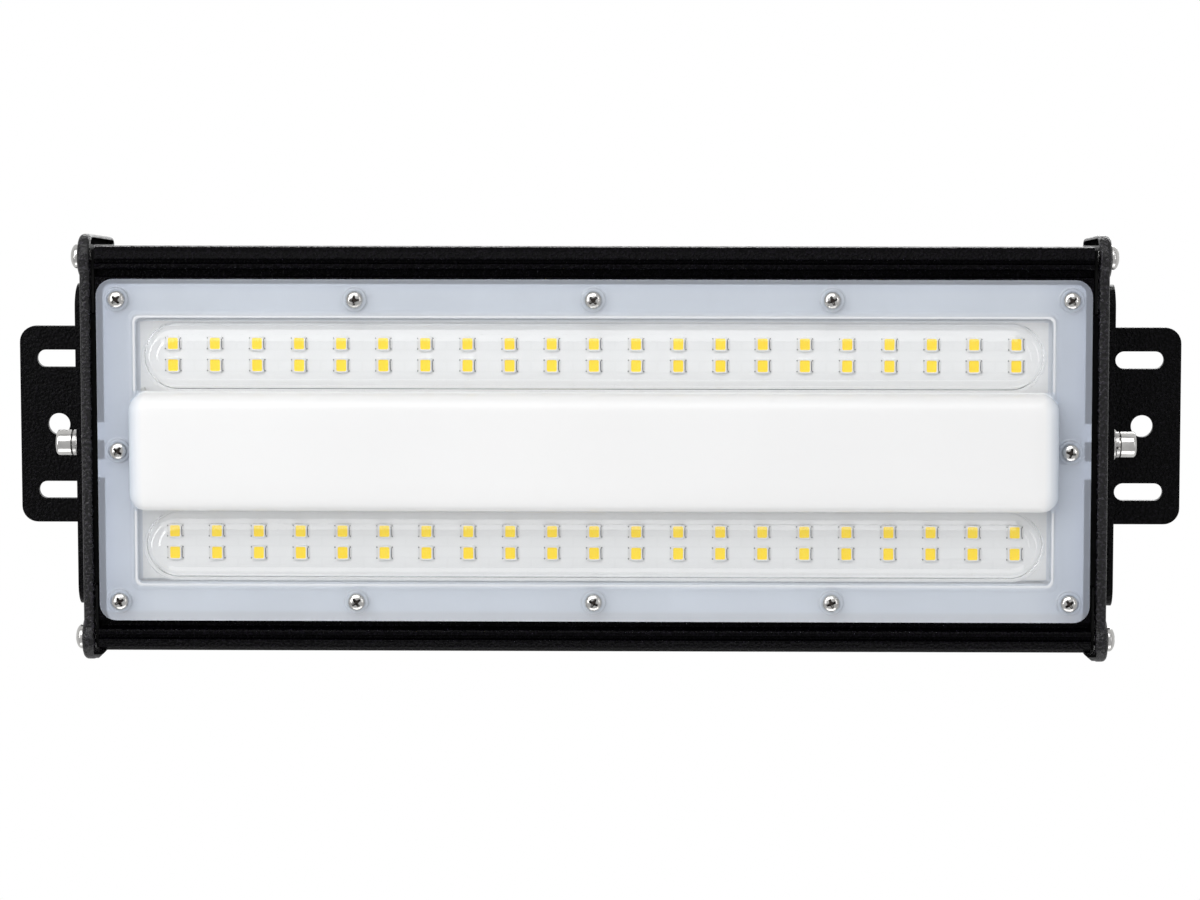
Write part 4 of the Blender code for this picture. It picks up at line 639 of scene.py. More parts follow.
def frosted_polycarbonate():
    """Spark-eroded flange that scatters what lies behind it, with painted shade that makes it
    darker towards its ends and edges.
    """
    colour = (0.764, 0.80, 0.85)
    material, tree, shader, place = new_shader("frosted_polycarbonate", colour, 0.36, {
        "IOR": 1.45, "Transmission Weight": 0.78, "Coat Weight": 0.35, "Coat Roughness": 0.12})
    fine = noise(tree, place, 0.35, 3.0)
    tint = clouded(tree, noise(tree, place, 40.0, 1.0), colour, 0.97, 1.03)
    # Painted shade: bands near the flange's ends and its upper and lower edges are tinted darker.
    for axis, near, far, side, share in (
            ("X", 0.143, 0.156, 0, (0.87, 0.88, 0.91)),
            ("X", 0.156, 0.1605, 0, (0.9, 0.91, 0.94)),
            ("Y", 0.0515, 0.0552, -1, (0.91, 0.92, 0.95)),
            ("Y", 0.0524, 0.0534, 1, (0.93, 0.91, 0.89))):
        darker = made(tree, "ShaderNodeVectorMath", {0: tint, 1: share}, operation="MULTIPLY")
        tint = mixed(tree, outwards(tree, place, axis, near, far, side), tint, darker)
    dress(tree, shader, tint, ranged(tree, fine, 0.32, 0.42), fine, 0.01)
    let_lamps_through(tree, shader, (0.96, 0.97, 0.985), 0.9)
    return material


def opal_polycarbonate():
    """Milky satin panel over the driver, with painted shade that turns its ends bluish grey where
    they slope down to the flange; the window beads, where this finish paints a bright line, are
    toned grey.
    """
    colour = (0.965, 0.965, 0.96)
    material, tree, shader, place = new_shader("opal_polycarbonate", colour, 0.36, {
        "Subsurface Weight": 0.25, "Subsurface Radius": (1, 1, 1), "Subsurface Scale": 0.003})
    fine = noise(tree, place, 0.4, 3.0)
    tint = clouded(tree, noise(tree, place, 60.0, 1.0), colour, 0.975, 1)
    # Painted shade: bluish grey at the hump's ends, and grey on the beads' painted highlight.
    for axis, near, far, shade in (
            ("X", 0.1455, 0.1505, (0.68, 0.75, 0.85)),
            ("Y", 0.0195, 0.0197, (0.76, 0.775, 0.805))):
        tint = mixed(tree, outwards(tree, place, axis, near, far), tint, shade)
    dress(tree, shader, tint, ranged(tree, fine, 0.32, 0.42), fine, 0.006)
    return material


def translucent_silicone():
    """Pale silicone that lets part of the light through."""
    material = plain_plastic("grey_silicone", (0.86, 0.88, 0.90), 0.6, 0.5, 0.01, 0.03)
    tree = material.node_tree
    let_lamps_through(tree, tree.nodes["Principled BSDF"], (0.95, 0.96, 0.97), 0.95)
    return material


def white_board():
    """Solder mask with copper runs just showing through it."""
    colour = (0.97, 0.97, 0.965)
    material, tree, shader, place = new_shader("white_board", colour, 0.38)
    runs = put(tree, "ShaderNodeTexBrick", {
        "Vector": place, "Color1": (1, 1, 1, 1), "Color2": (1, 1, 1, 1), "Mortar": (0, 0, 0, 1),
        "Scale": 1.0, "Mortar Size": 0.0004, "Mortar Smooth": 0.4,
        "Brick Width": 0.01375, "Row Height": 0.0036}, offset=0.5).outputs["Fac"]
    gloss = ranged(tree, noise(tree, place, 0.6), 0.33, 0.43)
    dress(tree, shader, mixed(tree, runs, colour, scaled(colour, 0.98)), gloss, runs, 0.008)
    return material


def phosphor():
    """Yellow phosphor gel with a faint painted glow, each package a little warmer or paler than the
    next.
    """
    strong, pale = (1.0, 0.68, 0.0), (1.0, 0.82, 0.05)
    # Painted glow: a weak yellow emission brightens the gel, though the packages are not lit.
    material, tree, shader, place = new_shader("phosphor_gel", strong, 0.3, {
        "Emission Color": (1.0, 0.66, 0.0, 1), "Emission Strength": 0.2})
    warmth = put(tree, "ShaderNodeAttribute", attribute_name="warmth").outputs["Fac"]
    grains = noise(tree, place, 0.3)
    part = ranged(tree, grains, 0, 0.5)
    tint = mixed(tree, maths(tree, "MULTIPLY_ADD", warmth, part, part), strong, pale)
    dress(tree, shader, tint, ranged(tree, grains, 0.22, 0.4), grains, 0.01)
    return material


def circuit_board():
    """Green board with a copper pattern under its mask."""
    colour = (0.02, 0.12, 0.05)
    material, tree, shader, place = new_shader("green_circuit_board", colour, 0.4)
    runs = put(tree, "ShaderNodeTexVoronoi", {
        "Vector": place, "Scale": 220.0}, distance="MANHATTAN").outputs["Distance"]
    tint = mixed(tree, ranged(tree, runs, 0, 1, 0.25, 0.3), (0.05, 0.2, 0.08), colour)
    dress(tree, shader, tint, ranged(tree, noise(tree, place, 0.8), 0.35, 0.5), runs, 0.03)
    return material


def wound_tape():
    """Yellow tape wound round the transformer, one layer over the next."""
    colour = (0.72, 0.5, 0.06)
    material, tree, shader, place = new_shader("yellow_tape", colour, 0.35)
    bands = put(tree, "ShaderNodeTexWave", {
        "Vector": place, "Scale": 60.0, "Distortion": 0.5}, bands_direction="Z").outputs["Fac"]
    gloss = ranged(tree, noise(tree, place, 1.0), 0.28, 0.45)
    dress(tree, shader, mixed(tree, bands, scaled(colour, 0.8), colour), gloss, bands, 0.05)
    return material


# The numbers stand in the order of each function's arguments
FINISHES = {
    "body_coat": powder_coat(
        "black_powder_coat", (0.0010, 0.0008, 0.0014), 4.5, 0.18, 0.9, 0.45, 0.055),
    "cast_coat": powder_coat(
        "black_cast_coat", (0.0018, 0.0016, 0.0022), 13.0, 0.2, 1.0, 0.5, 0.42),
    "sheet_coat": powder_coat(
        "black_sheet_coat", (0.0008, 0.0007, 0.0010), 7.0, 0.24, 0.9, 0.5, 0.08),
    "bare_casting": plain_plastic(
        "bare_black_casting", (0.003, 0.003, 0.003), 0.9, 0.8, 0.05, 0.3, 0.02),
    "clear": clear_polycarbonate(),
    "frosted": frosted_polycarbonate(),
    "opal": opal_polycarbonate(),
    "gasket": translucent_silicone(),
    "board": white_board(),
    "package": plain_plastic("white_package", (0.88, 0.88, 0.87), 0.35, 0.3, 0.004, 0.04),
    "phosphor": phosphor(),
    "terminal_tin": plain_plastic(
        "tinned_terminal", (0.84, 0.83, 0.82), 0.35, 0.4, 0.006, 0.08),
    "screw_steel": turned_steel("stainless_screw", (0.76, 0.75, 0.73), 0.2, (1, 1, 0.2)),
    "bolt_steel": turned_steel("bright_bolt", (0.80, 0.79, 0.77), 0.17, (0.15, 1, 1)),
    "washer_steel": turned_steel("spring_steel", (0.62, 0.61, 0.60), 0.26, (1, 1, 1)),
    "nylon": plain_plastic("black_nylon", (0.012, 0.012, 0.013), 0.42, 0.5, 0.012, 0.2, 0.4),
    "rubber": plain_plastic("black_rubber", (0.004, 0.004, 0.004), 0.8, 0.4, 0.02, 0.2, 0.1),
    "pad": plain_plastic("pink_thermal_pad", (0.55, 0.36, 0.38), 0.75, 0.4, 0.02),
    "film": plain_plastic("insulating_film", (0.8, 0.8, 0.76), 0.35, 1.2, 0.01, 0.05),
    "circuit": circuit_board(),
    "tape": wound_tape(),
    "sleeve": plain_plastic("black_sleeve", (0.02, 0.02, 0.024), 0.25, 1.0, 0.01, 0.2),
    "ferrite": plain_plastic("grey_ferrite", (0.07, 0.07, 0.075), 0.6, 0.3, 0.03, 0.2),
    "terminal": plain_plastic("green_terminal", (0.03, 0.22, 0.08), 0.38, 0.6, 0.01),
    "lead": plain_plastic("white_lead", (0.78, 0.78, 0.75), 0.45, 0.8, 0.01, 0.05),
}


# Pieces

def coated(mesh, finishes, region=None):
    """Give a mesh its finishes, and each face one of them where a region function is given."""
    mesh.materials.clear()
    for finish in finishes:
        mesh.materials.append(FINISHES[finish])
    if region:
        for face in mesh.polygons:
            face.material_index = region(face)
    return mesh


def add_piece(name, mesh, finish, body, stands_for=(), crease=38):
    """Finish a piece: metres, smooth shading between real edges, its material and its body."""
    mesh = moved(mesh, Matrix.Scale(MM, 4))
    if finish in FINISHES:
        coated(mesh, [finish])
    mesh.shade_smooth()
    mesh.set_sharp_from_angle(angle=math.radians(crease))
    piece = held(worked(mesh, "WEIGHTED_NORMAL", keep_sharp=True), name)
    piece.data.name = name
    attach(piece, body)
    if stands_for:
        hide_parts(*stands_for)


# Finned body

def rail_half():
    """Half of the extrusion's section with its rounded rail, without fins."""
    wall = BODY_BACK_HALF - 2.4
    rib = CHANNEL_HALF + 2.5
    boss, boss_front, boss_back = REAR_SCREW[0] - 4.1, REAR_SCREW[1] - 4.1, REAR_SCREW[1] + 4.1
    return [
        (CHANNEL_HALF, CHANNEL_FLOOR, 0.6), (CHANNEL_HALF, POCKET_DEPTH, 0.3),
        (POCKET_HALF, POCKET_DEPTH, 0.4), (POCKET_HALF, LEDGE_DEPTH, 0.25),
        (56.5, LEDGE_DEPTH, 0.2), (56.5, 6.2, 0.3), (58.9, 6.2, 0.5), (59.2, 1.9, 0.4),
        (59.8, 1.45, 0.3), (60.9, 1.5, 0.3), (61.15, 3.2, 0.2), (62.15, 3.2, 0.2), (62.4, 1.1, 0.3),
        (62.8, 0.95, 0.5), (64.9, 1.75, 1.0), (66.3, 3.1, 0.6), (BODY_HALF_WIDTH, TAPER_DEPTH, 0.5),
        (BODY_BACK_HALF, BODY_DEPTH, 0.5), (wall, BODY_DEPTH, 0.4), (wall, boss_back, 0.6),
        (boss, boss_back, 0.5), (boss, boss_front, 0.5), (wall, boss_front, 0.6),
        (wall, BASE_BACK, 0.8),
        (rib, BASE_BACK, 0.8), (rib, BODY_DEPTH, 0.5),
        (CHANNEL_HALF, BODY_DEPTH, 0.5), (CHANNEL_HALF, CHANNEL_BACK, 0.6),
    ]


def fin(root, low, high):
    """One fin that tapers to a rounded tip, from low to high X."""
    half = FIN_THICKNESS / 2
    outline = filleted([
        (-half - 0.5, root - 0.3, 0), (half + 0.5, root - 0.3, 0), (half, root + 1.2, 0.5),
        (half - 0.15, BODY_DEPTH, 0.6), (0.15 - half, BODY_DEPTH, 0.6), (-half, root + 1.2, 0.5),
    ], 3)
    return plate([lifted(outline)], low, high, "X", 0.15, 1)


def fin_bank(piece, pitch, start):
    """Four fins side by side."""
    return grown("row", "body_coat", piece=piece, Count=4, Pitch=pitch, Start=start)


def build_body():
    """Extruded body with its banks of fins."""
    ends = (-BODY_HALF_LENGTH, BODY_HALF_LENGTH)
    base = plate([lifted(filleted(mirrored(rail_half()), 4))], *ends, "X", 0.12, 1)
    low, high = FACE + CHANNEL_FLOOR - 2, FACE + CHANNEL_BACK + 2
    entries = [rod((x, 0), radius, low, high) for x, radius in ((GLAND_X, 8.3), (VENT_X, 6.0))]
    base = shaped(base, ("DIFFERENCE", gathered(entries)))
    first = CHANNEL_HALF + 1.25 + FIN_PITCH
    side_fin = fin(BASE_BACK, *ends)
    banks = [fin_bank(side_fin, sign * FIN_PITCH, sign * first) for sign in SIGNS]
    for low, high in ((ends[0], FIN_CLEARING[0]), (FIN_CLEARING[1], ends[1])):
        banks.append(fin_bank(fin(CHANNEL_BACK, low, high), FIN_PITCH, -1.5 * FIN_PITCH))
    add_piece("body_extrusion", gathered([base] + banks), "body_coat", "lamp", ["heatsink_body"])


# Cover

def cover_screw_places():
    """Centres of the twelve cover screws."""
    reach, aside = COVER_SCREW
    columns = (-reach, -reach / 2, 0, reach / 2, reach)
    return [(x, sign * aside) for sign in SIGNS for x in columns] + [(-reach, 0), (reach, 0)]


def dome_outline(inset, sign, grow=0.0):
    """Outline of a strip dome at an inset."""
    length, radius = [size + grow - inset for size in DOME]
    return stadium((0, sign * DOME_OFFSET), length, radius, 32)


def hump_outline(inset, grow=0.0):
    """Outline of the driver hump at an inset."""
    length, width, corner = [size + grow for size in HUMP]
    corner = max(corner - inset * 0.5, 0.6)
    return rounded_rectangle(length - inset, width - inset, corner, 10)


def window_outline(inset, sign, grow=0.0):
    """Outline of the sunk window round a dome at an inset."""
    length, width = [size + grow - inset for size in WINDOW]
    return rounded_rectangle(length, width, 2.0 - inset * 0.5, 6, (0, sign * WINDOW_OFFSET))


def rim_profile(base, top, rounding, flare, crown):
    """Insets and heights of a raised form: flared foot, rounded rim and a slight crown."""
    profile = [(-flare, base + 0.15), (-flare, base - 0.02)]
    for index in range(1, 4):
        angle = math.pi / 2 * index / 3
        profile.append((-flare * (1 - math.sin(angle)), base - flare * (1 - math.cos(angle))))
    edge = top + crown
    for index in range(8):
        angle = math.pi / 2 * index / 7
        profile.append((rounding * (1 - math.cos(angle)), edge + rounding * (1 - math.sin(angle))))
    return profile + [(rounding + 2.5, top + crown * 0.3), (rounding + 4.5, top)]


def split_along(mesh, places):
    """Cut faces along planes on both sides of the middle, so that a face lies in one region."""
    work = bmesh.new()
    work.from_mesh(mesh)
    for axis, distances in enumerate(zip(*places)):
        normal = Vector((axis == 0, axis == 1, 0))
        for place in [sign * distance for distance in distances for sign in SIGNS]:
            everything = work.verts[:] + work.edges[:] + work.faces[:]
            bmesh.ops.bisect_plane(
                work, geom=everything, plane_co=normal * place, plane_no=normal,
                dist=JOIN_DISTANCE)
    work.to_mesh(mesh)
    work.free()
    return mesh


def cover_region(face):
    """Finish of one face of the cover: 0 frosted, 1 clear, 2 opal."""
    frosted, clear, opal = 0, 1, 2
    along_x, across, rise = abs(face.center.x), abs(face.center.y), FACE - face.center.z
    level = abs(face.normal.z) > 0.999 and -0.8 < rise < 0.02
    corner = 5.9
    past_corner = math.hypot(
        max(along_x - HUMP_FOOT[0] + corner, 0), max(across - HUMP_FOOT[1] + corner, 0))
    in_hump = along_x < HUMP_FOOT[0] and across < HUMP_FOOT[1] and past_corner < corner + 0.05
    if in_hump and not level:
        return opal
    # Painted highlight: the top of each window's bead takes the pale opal finish, as a bright line
    # where light catches the bead.
    bead_highlight_band = 42.9 < across < 44.9 or along_x > 148.3 and 19.7 < across < 44.9
    if rise > 0.6 and along_x < 149.9 and bead_highlight_band:
        return opal
    from_dome = math.hypot(max(along_x - DOME[0] + DOME[1], 0), across - DOME_OFFSET)
    in_window = along_x < WINDOW_FLOOR[0] and across < WINDOW_FLOOR[1]
    return clear if from_dome < DOME[1] + 0.65 or in_window else frosted


def build_cover():
    """Moulded cover: frosted flange, recessed windows with clear domes, opal driver hump."""
    floor = FACE + 0.75
    flange = plate([rounded_rectangle(*FLANGE, 12)], FACE, COVER_BACK, "Z", 0.35, 3)
    bead = lifted([
        (-1.9, 0.15), (-1.7, -0.02), (-1.2, -0.08), (-0.75, -0.2),
        (-0.4, -0.42), (-0.12, -0.64), (0.2, -0.72), (0.6, -0.72)])
    wall = lifted([
        (-0.32, -1.0), (-0.3, -0.74), (-0.1, -0.66), (0.02, -0.45),
        (0.15, 0.1), (0.7, 0.55), (1.6, 0.75)])
    dome = rim_profile(floor, FACE - 7.0, 4.6, 0.2, 0.55)
    hump = rim_profile(floor, FACE - 9.0, 5.1, 0.35, 0.35)
    dome_hollow = lifted([
        (0, 3.0), (0.05, 0.7), (0.5, -0.8), (1.2, -2.2), (2.3, -3.5),
        (3.8, -4.5), (5.6, -5.05), (7.5, -5.2)])
    hump_hollow = lifted([(0, 3.0), (0, -3.5), (0.8, -5.6), (2.4, -6.9), (3.6, -7.1)])
    ring = turned(lifted([
        (3.0, 0.2), (3.0, -0.85), (3.15, -1.1), (3.55, -1.15), (3.85, -1.0),
        (4.05, -0.3), (4.5, -0.03), (4.5, 0.2), (3.0, 0.2)]), 32)
    screws = cover_screw_places()
    rings = [moved(ring, shift(*place)) for place in screws]
    hollows = [moulded(dome_outline, dome_hollow, sign, -0.7) for sign in SIGNS]
    hollows.append(moulded(hump_outline, hump_hollow, -1.8))
    holes = [rod(place, COVER_BORE, FACE - 3, COVER_BACK + 1, steps=20) for place in screws]
    mesh = shaped(
        flange,
        ("UNION", *[moulded(window_outline, bead, sign, 0.7) for sign in SIGNS]),
        ("DIFFERENCE", *[moulded(window_outline, wall, sign) for sign in SIGNS]),
        ("UNION", *[moulded(dome_outline, dome, sign) for sign in SIGNS],
         moulded(hump_outline, hump), gathered(rings)),
        ("DIFFERENCE", gathered(hollows), gathered(holes)))
    split_along(mesh, (HUMP_FOOT, WINDOW_FLOOR))
    coated(mesh, ("frosted", "clear", "opal"), cover_region)
    add_piece("moulded_cover", mesh, "cover", "lamp", ["lens_cover"], 32)


def build_gasket():
    """Silicone gasket under the flange, with two tabs at each end."""
    layer = (FACE + 2.3, FACE + 2.9, "Z", 0.1, 1)
    loops = [
        rounded_rectangle(159.5, 55.2, 3.0, centre=(0, 0.8)), rounded_rectangle(149.7, 44.1, 2.0)]
    loops += [circle(place, COVER_BORE, 16) for place in cover_screw_places()]
    tabs = [
        plate([rounded_rectangle(2.1, 3.0, 0.6, 3, (side * 159.4, sign * 6.1))], *layer)
        for side in SIGNS for sign in SIGNS
    ]
    mesh = shaped(plate(loops, *layer), ("UNION", gathered(tabs)))
    add_piece("silicone_gasket", mesh, "gasket", "lamp", ["lens_gasket"])


# LED boards

def package_parts(front):
    """Parts of one LED package, each with its finish: cup, gel, terminals and dark marks painted as
    the shade in their slot and in the lead frame's holes.
    """
    cup = plate(
        [rounded_rectangle(2.08, 2.4, 0.3, 3), rounded_rectangle(1.62, 1.9, 0.5, 4)],
        front - 0.8, front + 0.05, "Z", 0.08, 1)
    cup_floor = plate([rounded_rectangle(1.9, 2.2, 0.3, 2)], front - 0.35, front + 0.05)
    layers = lifted([(0, -0.4), (0, -0.66), (0.2, -0.63), (0.45, -0.62)], front)
    gel = moulded(lambda inset: rounded_rectangle(1.64 - inset, 1.92 - inset, 0.5, 4), layers)
    # Painted shade: a dark strip fills the slot of the right terminal, and dark squares on the
    # terminals' corners stand for shaded holes in the lead frame.
    terminals, shade_marks = [], []
    for side in SIGNS:
        loops = [rounded_rectangle(0.36, 1.95, 0.18, 2, (side * 2.36, 0))]
        if side > 0:
            loops.append(rounded_rectangle(0.13, 1.6, 0.1, 1, (2.2, 0)))
            strip = rounded_rectangle(0.15, 1.62, 0.1, 1, (2.2, 0))
            shade_marks.append(plate([strip], front - 0.3, front - 0.1))
        terminals.append(plate(loops, front - 0.4, front + 0.03, "Z", 0.07, 1))
        for line in SIGNS:
            tip = rounded_rectangle(0.17, 0.2, 0.08, 1, (side * 2.52, line * 1.8))
            shade_marks.append(plate([tip], front - 0.45, front - 0.2))
    return {
        "packages": (gathered([cup, cup_floor]), "package"),
        "phosphor": (gel, "phosphor"),
        "terminals": (gathered(terminals), "terminal_tin"),
        "terminal_tips": (gathered(shade_marks), "ferrite"),
    }


def build_led_boards():
    """White boards with two lines of 21 packages each."""
    front = FACE + BOARD_DEPTH
    parts = package_parts(front)
    for row, sign in ROWS.items():
        centre = (0, sign * DOME_OFFSET)
        outline = rounded_rectangle(151.5, 13.0, 0.8, 3, centre)
        board = plate([outline], front, front + 1.6, "Z", 0.1, 1)
        add_piece(row + "_white_board", board, "board", "lamp", [row + "_led_board"])
        for part, (piece, finish) in parts.items():
            mesh = grown(
                "grid", finish, piece=piece, Columns=21, Lines=2, Pitch=13.75, Line_Spacing=7.2,
                Seed=3 if sign < 0 else 8)
            add_piece("%s_led_%s" % (row, part), moved(mesh, shift(*centre)), finish, "lamp")


# End caps

def cap_outline():
    """Closed outline of the end cap: lugs at the front corners, tapering sides."""
    turn = tangent_angle(END_SCREW, LUG_RADIUS, CAP_CORNER, CAP_CORNER_RADIUS)
    start = -90 - math.degrees(math.acos((END_SCREW[1] - 2.0) / LUG_RADIUS))
    half = arc(END_SCREW, LUG_RADIUS, start, turn, 16)
    half += arc(CAP_CORNER, CAP_CORNER_RADIUS, turn, 90, 12)
    return lifted(mirrored(half))


def cap_pocket(sign):
    """Hollow in the cap's inner face, between its rim and the side of the body."""
    rim, land = 1.1, 0.4
    turn = tangent_angle(END_SCREW, LUG_RADIUS, CAP_CORNER, CAP_CORNER_RADIUS)
    points = arc(END_SCREW, LUG_RADIUS - rim, -45, turn, 12)
    points += arc(CAP_CORNER, CAP_CORNER_RADIUS - rim, turn, 40, 5)
    points += [(BODY_BACK_HALF + land, 47.4), (BODY_HALF_WIDTH + land, TAPER_DEPTH)]
    return lifted([(sign * a, b) for a, b in points])


def cap_region(face):
    """Finish of one face of a cap: 1 in the uncoated hollow of the inner side, else 0."""
    along_x, across = abs(face.center.x), abs(face.center.y)
    hollow = CAP_INNER + 0.05 < along_x < CAP_INNER + 2.1 and 62.0 < across < 69.3
    return int(along_x < CAP_INNER - 0.5 or hollow and abs(face.normal.x) > 0.9)


def lug_web(side):
    """Web on the inner side of a lower lug, sloping down to the rail beside it."""
    place = (END_SCREW[0], FACE + END_SCREW[1])
    rail, top, root = BODY_HALF_WIDTH + 0.04, 69.9, CAP_INNER + 1
    slope = [(CAP_INNER - 3.6, rail), (root, rail), (root, top), (CAP_INNER - 0.3, top)]
    wedge = plate([[(side * x, y) for x, y in slope]], FACE, FACE + 17)
    disc = rod(place, LUG_RADIUS - 0.2, *span(side, CAP_INNER - 4, root), "X", 48)
    return shaped(disc, ("INTERSECT", wedge))


def build_end_caps():
    """Cast end caps with rounded rims, screw lugs, pivot pad and the tongue under the cover."""
    outline = cap_outline()
    pad = arc((0, PIVOT_DEPTH), 8.0, 180, 360, 20) + arc((0, LOCK_DEPTH), 8.0, 0, 180, 20)
    ends, rears = [[(sign * a, b) for sign in SIGNS] for a, b in (END_SCREW, REAR_SCREW)]
    root = CAP_INNER + 1
    for label, side in SIDES.items():
        raised = span(side, root, CAP_RAISED)
        through = span(side, CAP_INNER - 8, CAP_RAISED + 3)
        inner = span(side, CAP_INNER - 5, CAP_RAISED + 3)
        low, high = span(side, 152.0, root)
        tongue = block(
            (low, -44.2, FACE + LEDGE_DEPTH), (high, 44.2, FACE + POCKET_DEPTH - 0.3))
        holes = [
            rod(place, SCREW_BORE, *through, "X", 20)
            for place in lifted(ends + rears + [(0, LOCK_DEPTH)])]
        holes.append(rod(PIVOT, PIVOT_BORE, *inner, "X", 24))
        holes.append(rod((side * COVER_SCREW[0], 0), COVER_BORE, FACE, FACE + 12, steps=16))
        pockets = span(side, CAP_INNER - 1, CAP_INNER + 2)
        holes += [plate([cap_pocket(sign)], *pockets, "X") for sign in SIGNS]
        forms = [lug_web(side)]
        forms += [rod(end, LUG_RADIUS, *raised, "X", 48, 1.6, 5) for end in lifted(ends)]
        forms.append(plate([lifted(pad)], *raised, "X", 0.3, 2))
        forms.append(rod(PIVOT, 6.5, *span(side, CAP_INNER - 6, root), "X", 40, 0.3, 1))
        mesh = shaped(
            plate([outline], *span(side, CAP_INNER, CAP_PLATE), "X", 1.1, 4),
            ("UNION", *forms, tongue), ("DIFFERENCE", gathered(holes)))
        mesh = coated(softened(mesh, 0.22, 50), ("cast_coat", "bare_casting"), cap_region)
        add_piece(label + "_cast_cap", mesh, "cap", "lamp", [label + "_end_cap"], 35)


# Brackets

def build_brackets():
    """Bent sheet brackets with arm, arc slot and slotted foot."""
    arm_round, foot_round, bend_inner, bend_outer = 7.5, 5.5, 1.5, 3.5
    corner, neck = (53.2 - arm_round, 9.5 + arm_round), (FOOT_HALF, 63.5)
    turn = tangent_angle(corner, arm_round, neck, 0)
    half = arc(corner, arm_round, -90, turn, 12) + [neck, (FOOT_HALF, 70.0)]
    arm_outline = lifted(mirrored(half))
    lock_slot = lifted(arc_slot((0, PIVOT_DEPTH), 13.8, SCREW_BORE, 75, 105))
    shoulder = ARM_OUTER + 0.3
    foot = [(160.0, 58.0), (shoulder, 58.0), (shoulder, FOOT_HALF)]
    foot += arc((FOOT_END - foot_round, FOOT_HALF - foot_round), foot_round, 90, 0, 8)
    foot += [(x, -y) for x, y in reversed(foot)]
    bend = (-bend_outer, ARM_OUTER + bend_inner)
    profile = [(FACE + 6, ARM_OUTER)] + arc(bend, bend_inner, 270, 360, 8)
    profile += [(-2.0, FOOT_END), (0, FOOT_END)] + arc(bend, bend_outer, 360, 270, 10)
    profile += [(FACE + 6, ARM_INNER)]
    for label, side in SIDES.items():
        sheet = plate([[(height, side * x) for height, x in profile]], -56, 56, "Y")
        through = span(side, ARM_INNER - 3, ARM_OUTER + 3)
        holes = [
            rod(PIVOT, PIVOT_BORE, *through, "X", 32),
            plate([lock_slot], *through, "X"),
            rod((side * 186.3, 0), 3.8, -6, 3),
        ]
        foot_slots = [stadium((side * 185.3, sign * 22.8), 8.3, 3.0) for sign in SIGNS]
        holes += [plate([slot], -6, 3) for slot in foot_slots]
        arm_plan = plate([arm_outline], *span(side, ARM_INNER - 3, FOOT_END + 3.5), "X")
        foot_plan = plate([[(side * x, y) for x, y in foot]], -75, 5)
        mesh = shaped(sheet, ("INTERSECT", arm_plan, foot_plan), ("DIFFERENCE", gathered(holes)))
        mesh, body = softened(mesh, 0.28, 50), label + "_bracket"
        add_piece(label + "_sheet_bracket", mesh, "sheet_coat", body, [body], 35)


# Fasteners

def cross_cutter(reach, top, depth):
    """Tapered cross recess, wide at the top."""
    rings = []
    for height, share in ((top + 0.5, 1.05), (top - depth * 0.5, 0.82), (top - depth, 0.42)):
        blade = reach * 0.2 * (0.6 + 0.4 * share)
        corners = ((reach * share, -blade), (reach * share, blade), (blade * 1.5, blade * 1.5))
        ring = []
        for quarter in range(4):
            angle = quarter * math.pi / 2
            for out, aside in corners:
                ring.append((
                    out * math.cos(angle) - aside * math.sin(angle),
                    out * math.sin(angle) + aside * math.cos(angle), height))
        rings.append(ring)
    return stacked(rings)


def pan_head(radius, height, shank, length, reach):
    """Pan head screw about Z, head up, with a domed crown and a cross recess whose deep faces are
    marked for painted shade.
    """
    curve = 1.35
    profile = [(0, height)]
    for index in range(1, 9):
        angle = index / 8 * curve
        fall = (math.cos(angle) - math.cos(curve)) / (1 - math.cos(curve))
        profile.append((
            radius * 0.97 * math.sin(angle) / math.sin(curve), height * (0.42 + 0.58 * fall)))
    profile += [(radius, height * 0.3), (radius, 0.1), (radius - 0.1, 0), (shank, 0),
                (shank, 0.4 - length), (shank - 0.4, -length), (0, -length)]
    recess = cross_cutter(reach, height, height * 0.72)
    mesh = shaped(turned(profile, 36), ("DIFFERENCE", recess))
    # Mark the steep and deep faces of the recess, which the steel finish paints dark as shade.
    marks = mesh.attributes.new("recess", "FLOAT", "FACE")
    for face, mark in zip(mesh.polygons, marks.data):
        x, y, z = face.center
        steep = abs(face.normal.z) < 0.55 or z < height * 0.35 and face.normal.z > 0.9
        mark.value = float(steep and math.hypot(x, y) < reach * 1.06 and z > 0.2)
    return mesh


def case_screw(length):
    """Pan head screw of the end caps and the lock slots."""
    return pan_head(4.0, 2.6, 2.0, length, 2.15)


def socket_head(length):
    """Socket cap screw about Z, with a rounded rim and a hexagon socket."""
    profile = [(0, 5.3), (2.9, 5.3)] + arc((3.25, 4.3), 1.0, 90, 0, 6)
    profile += [(4.25, 0.3), (4.05, 0), (2.5, 0), (2.5, 0.5 - length), (2.0, -length), (0, -length)]
    chamfer = turned([(0, 6), (2.65, 5.6), (2.2, 5.05), (0, 5.0)], 6)
    socket = stacked([[(a, b, z) for a, b in circle((0, 0), 2.31, 6)] for z in (2.6, 5.8)])
    return shaped(turned(profile, 48), ("DIFFERENCE", socket, chamfer))


def outward(side):
    """Turn that points a fastener's head out along X."""
    return Matrix.Rotation(side * math.pi / 2, 4, "Y")


def scattered(head, places, axis, seed):
    """Screws at their places, each with its own turn about an axis."""
    points = bpy.data.meshes.new("points")
    points.from_pydata(places, [], [])
    return grown("scatter", "screw_steel", points, head, Axis=axis, Least_Turn=0.0,
                 Most_Turn=1.57, Seed=seed)


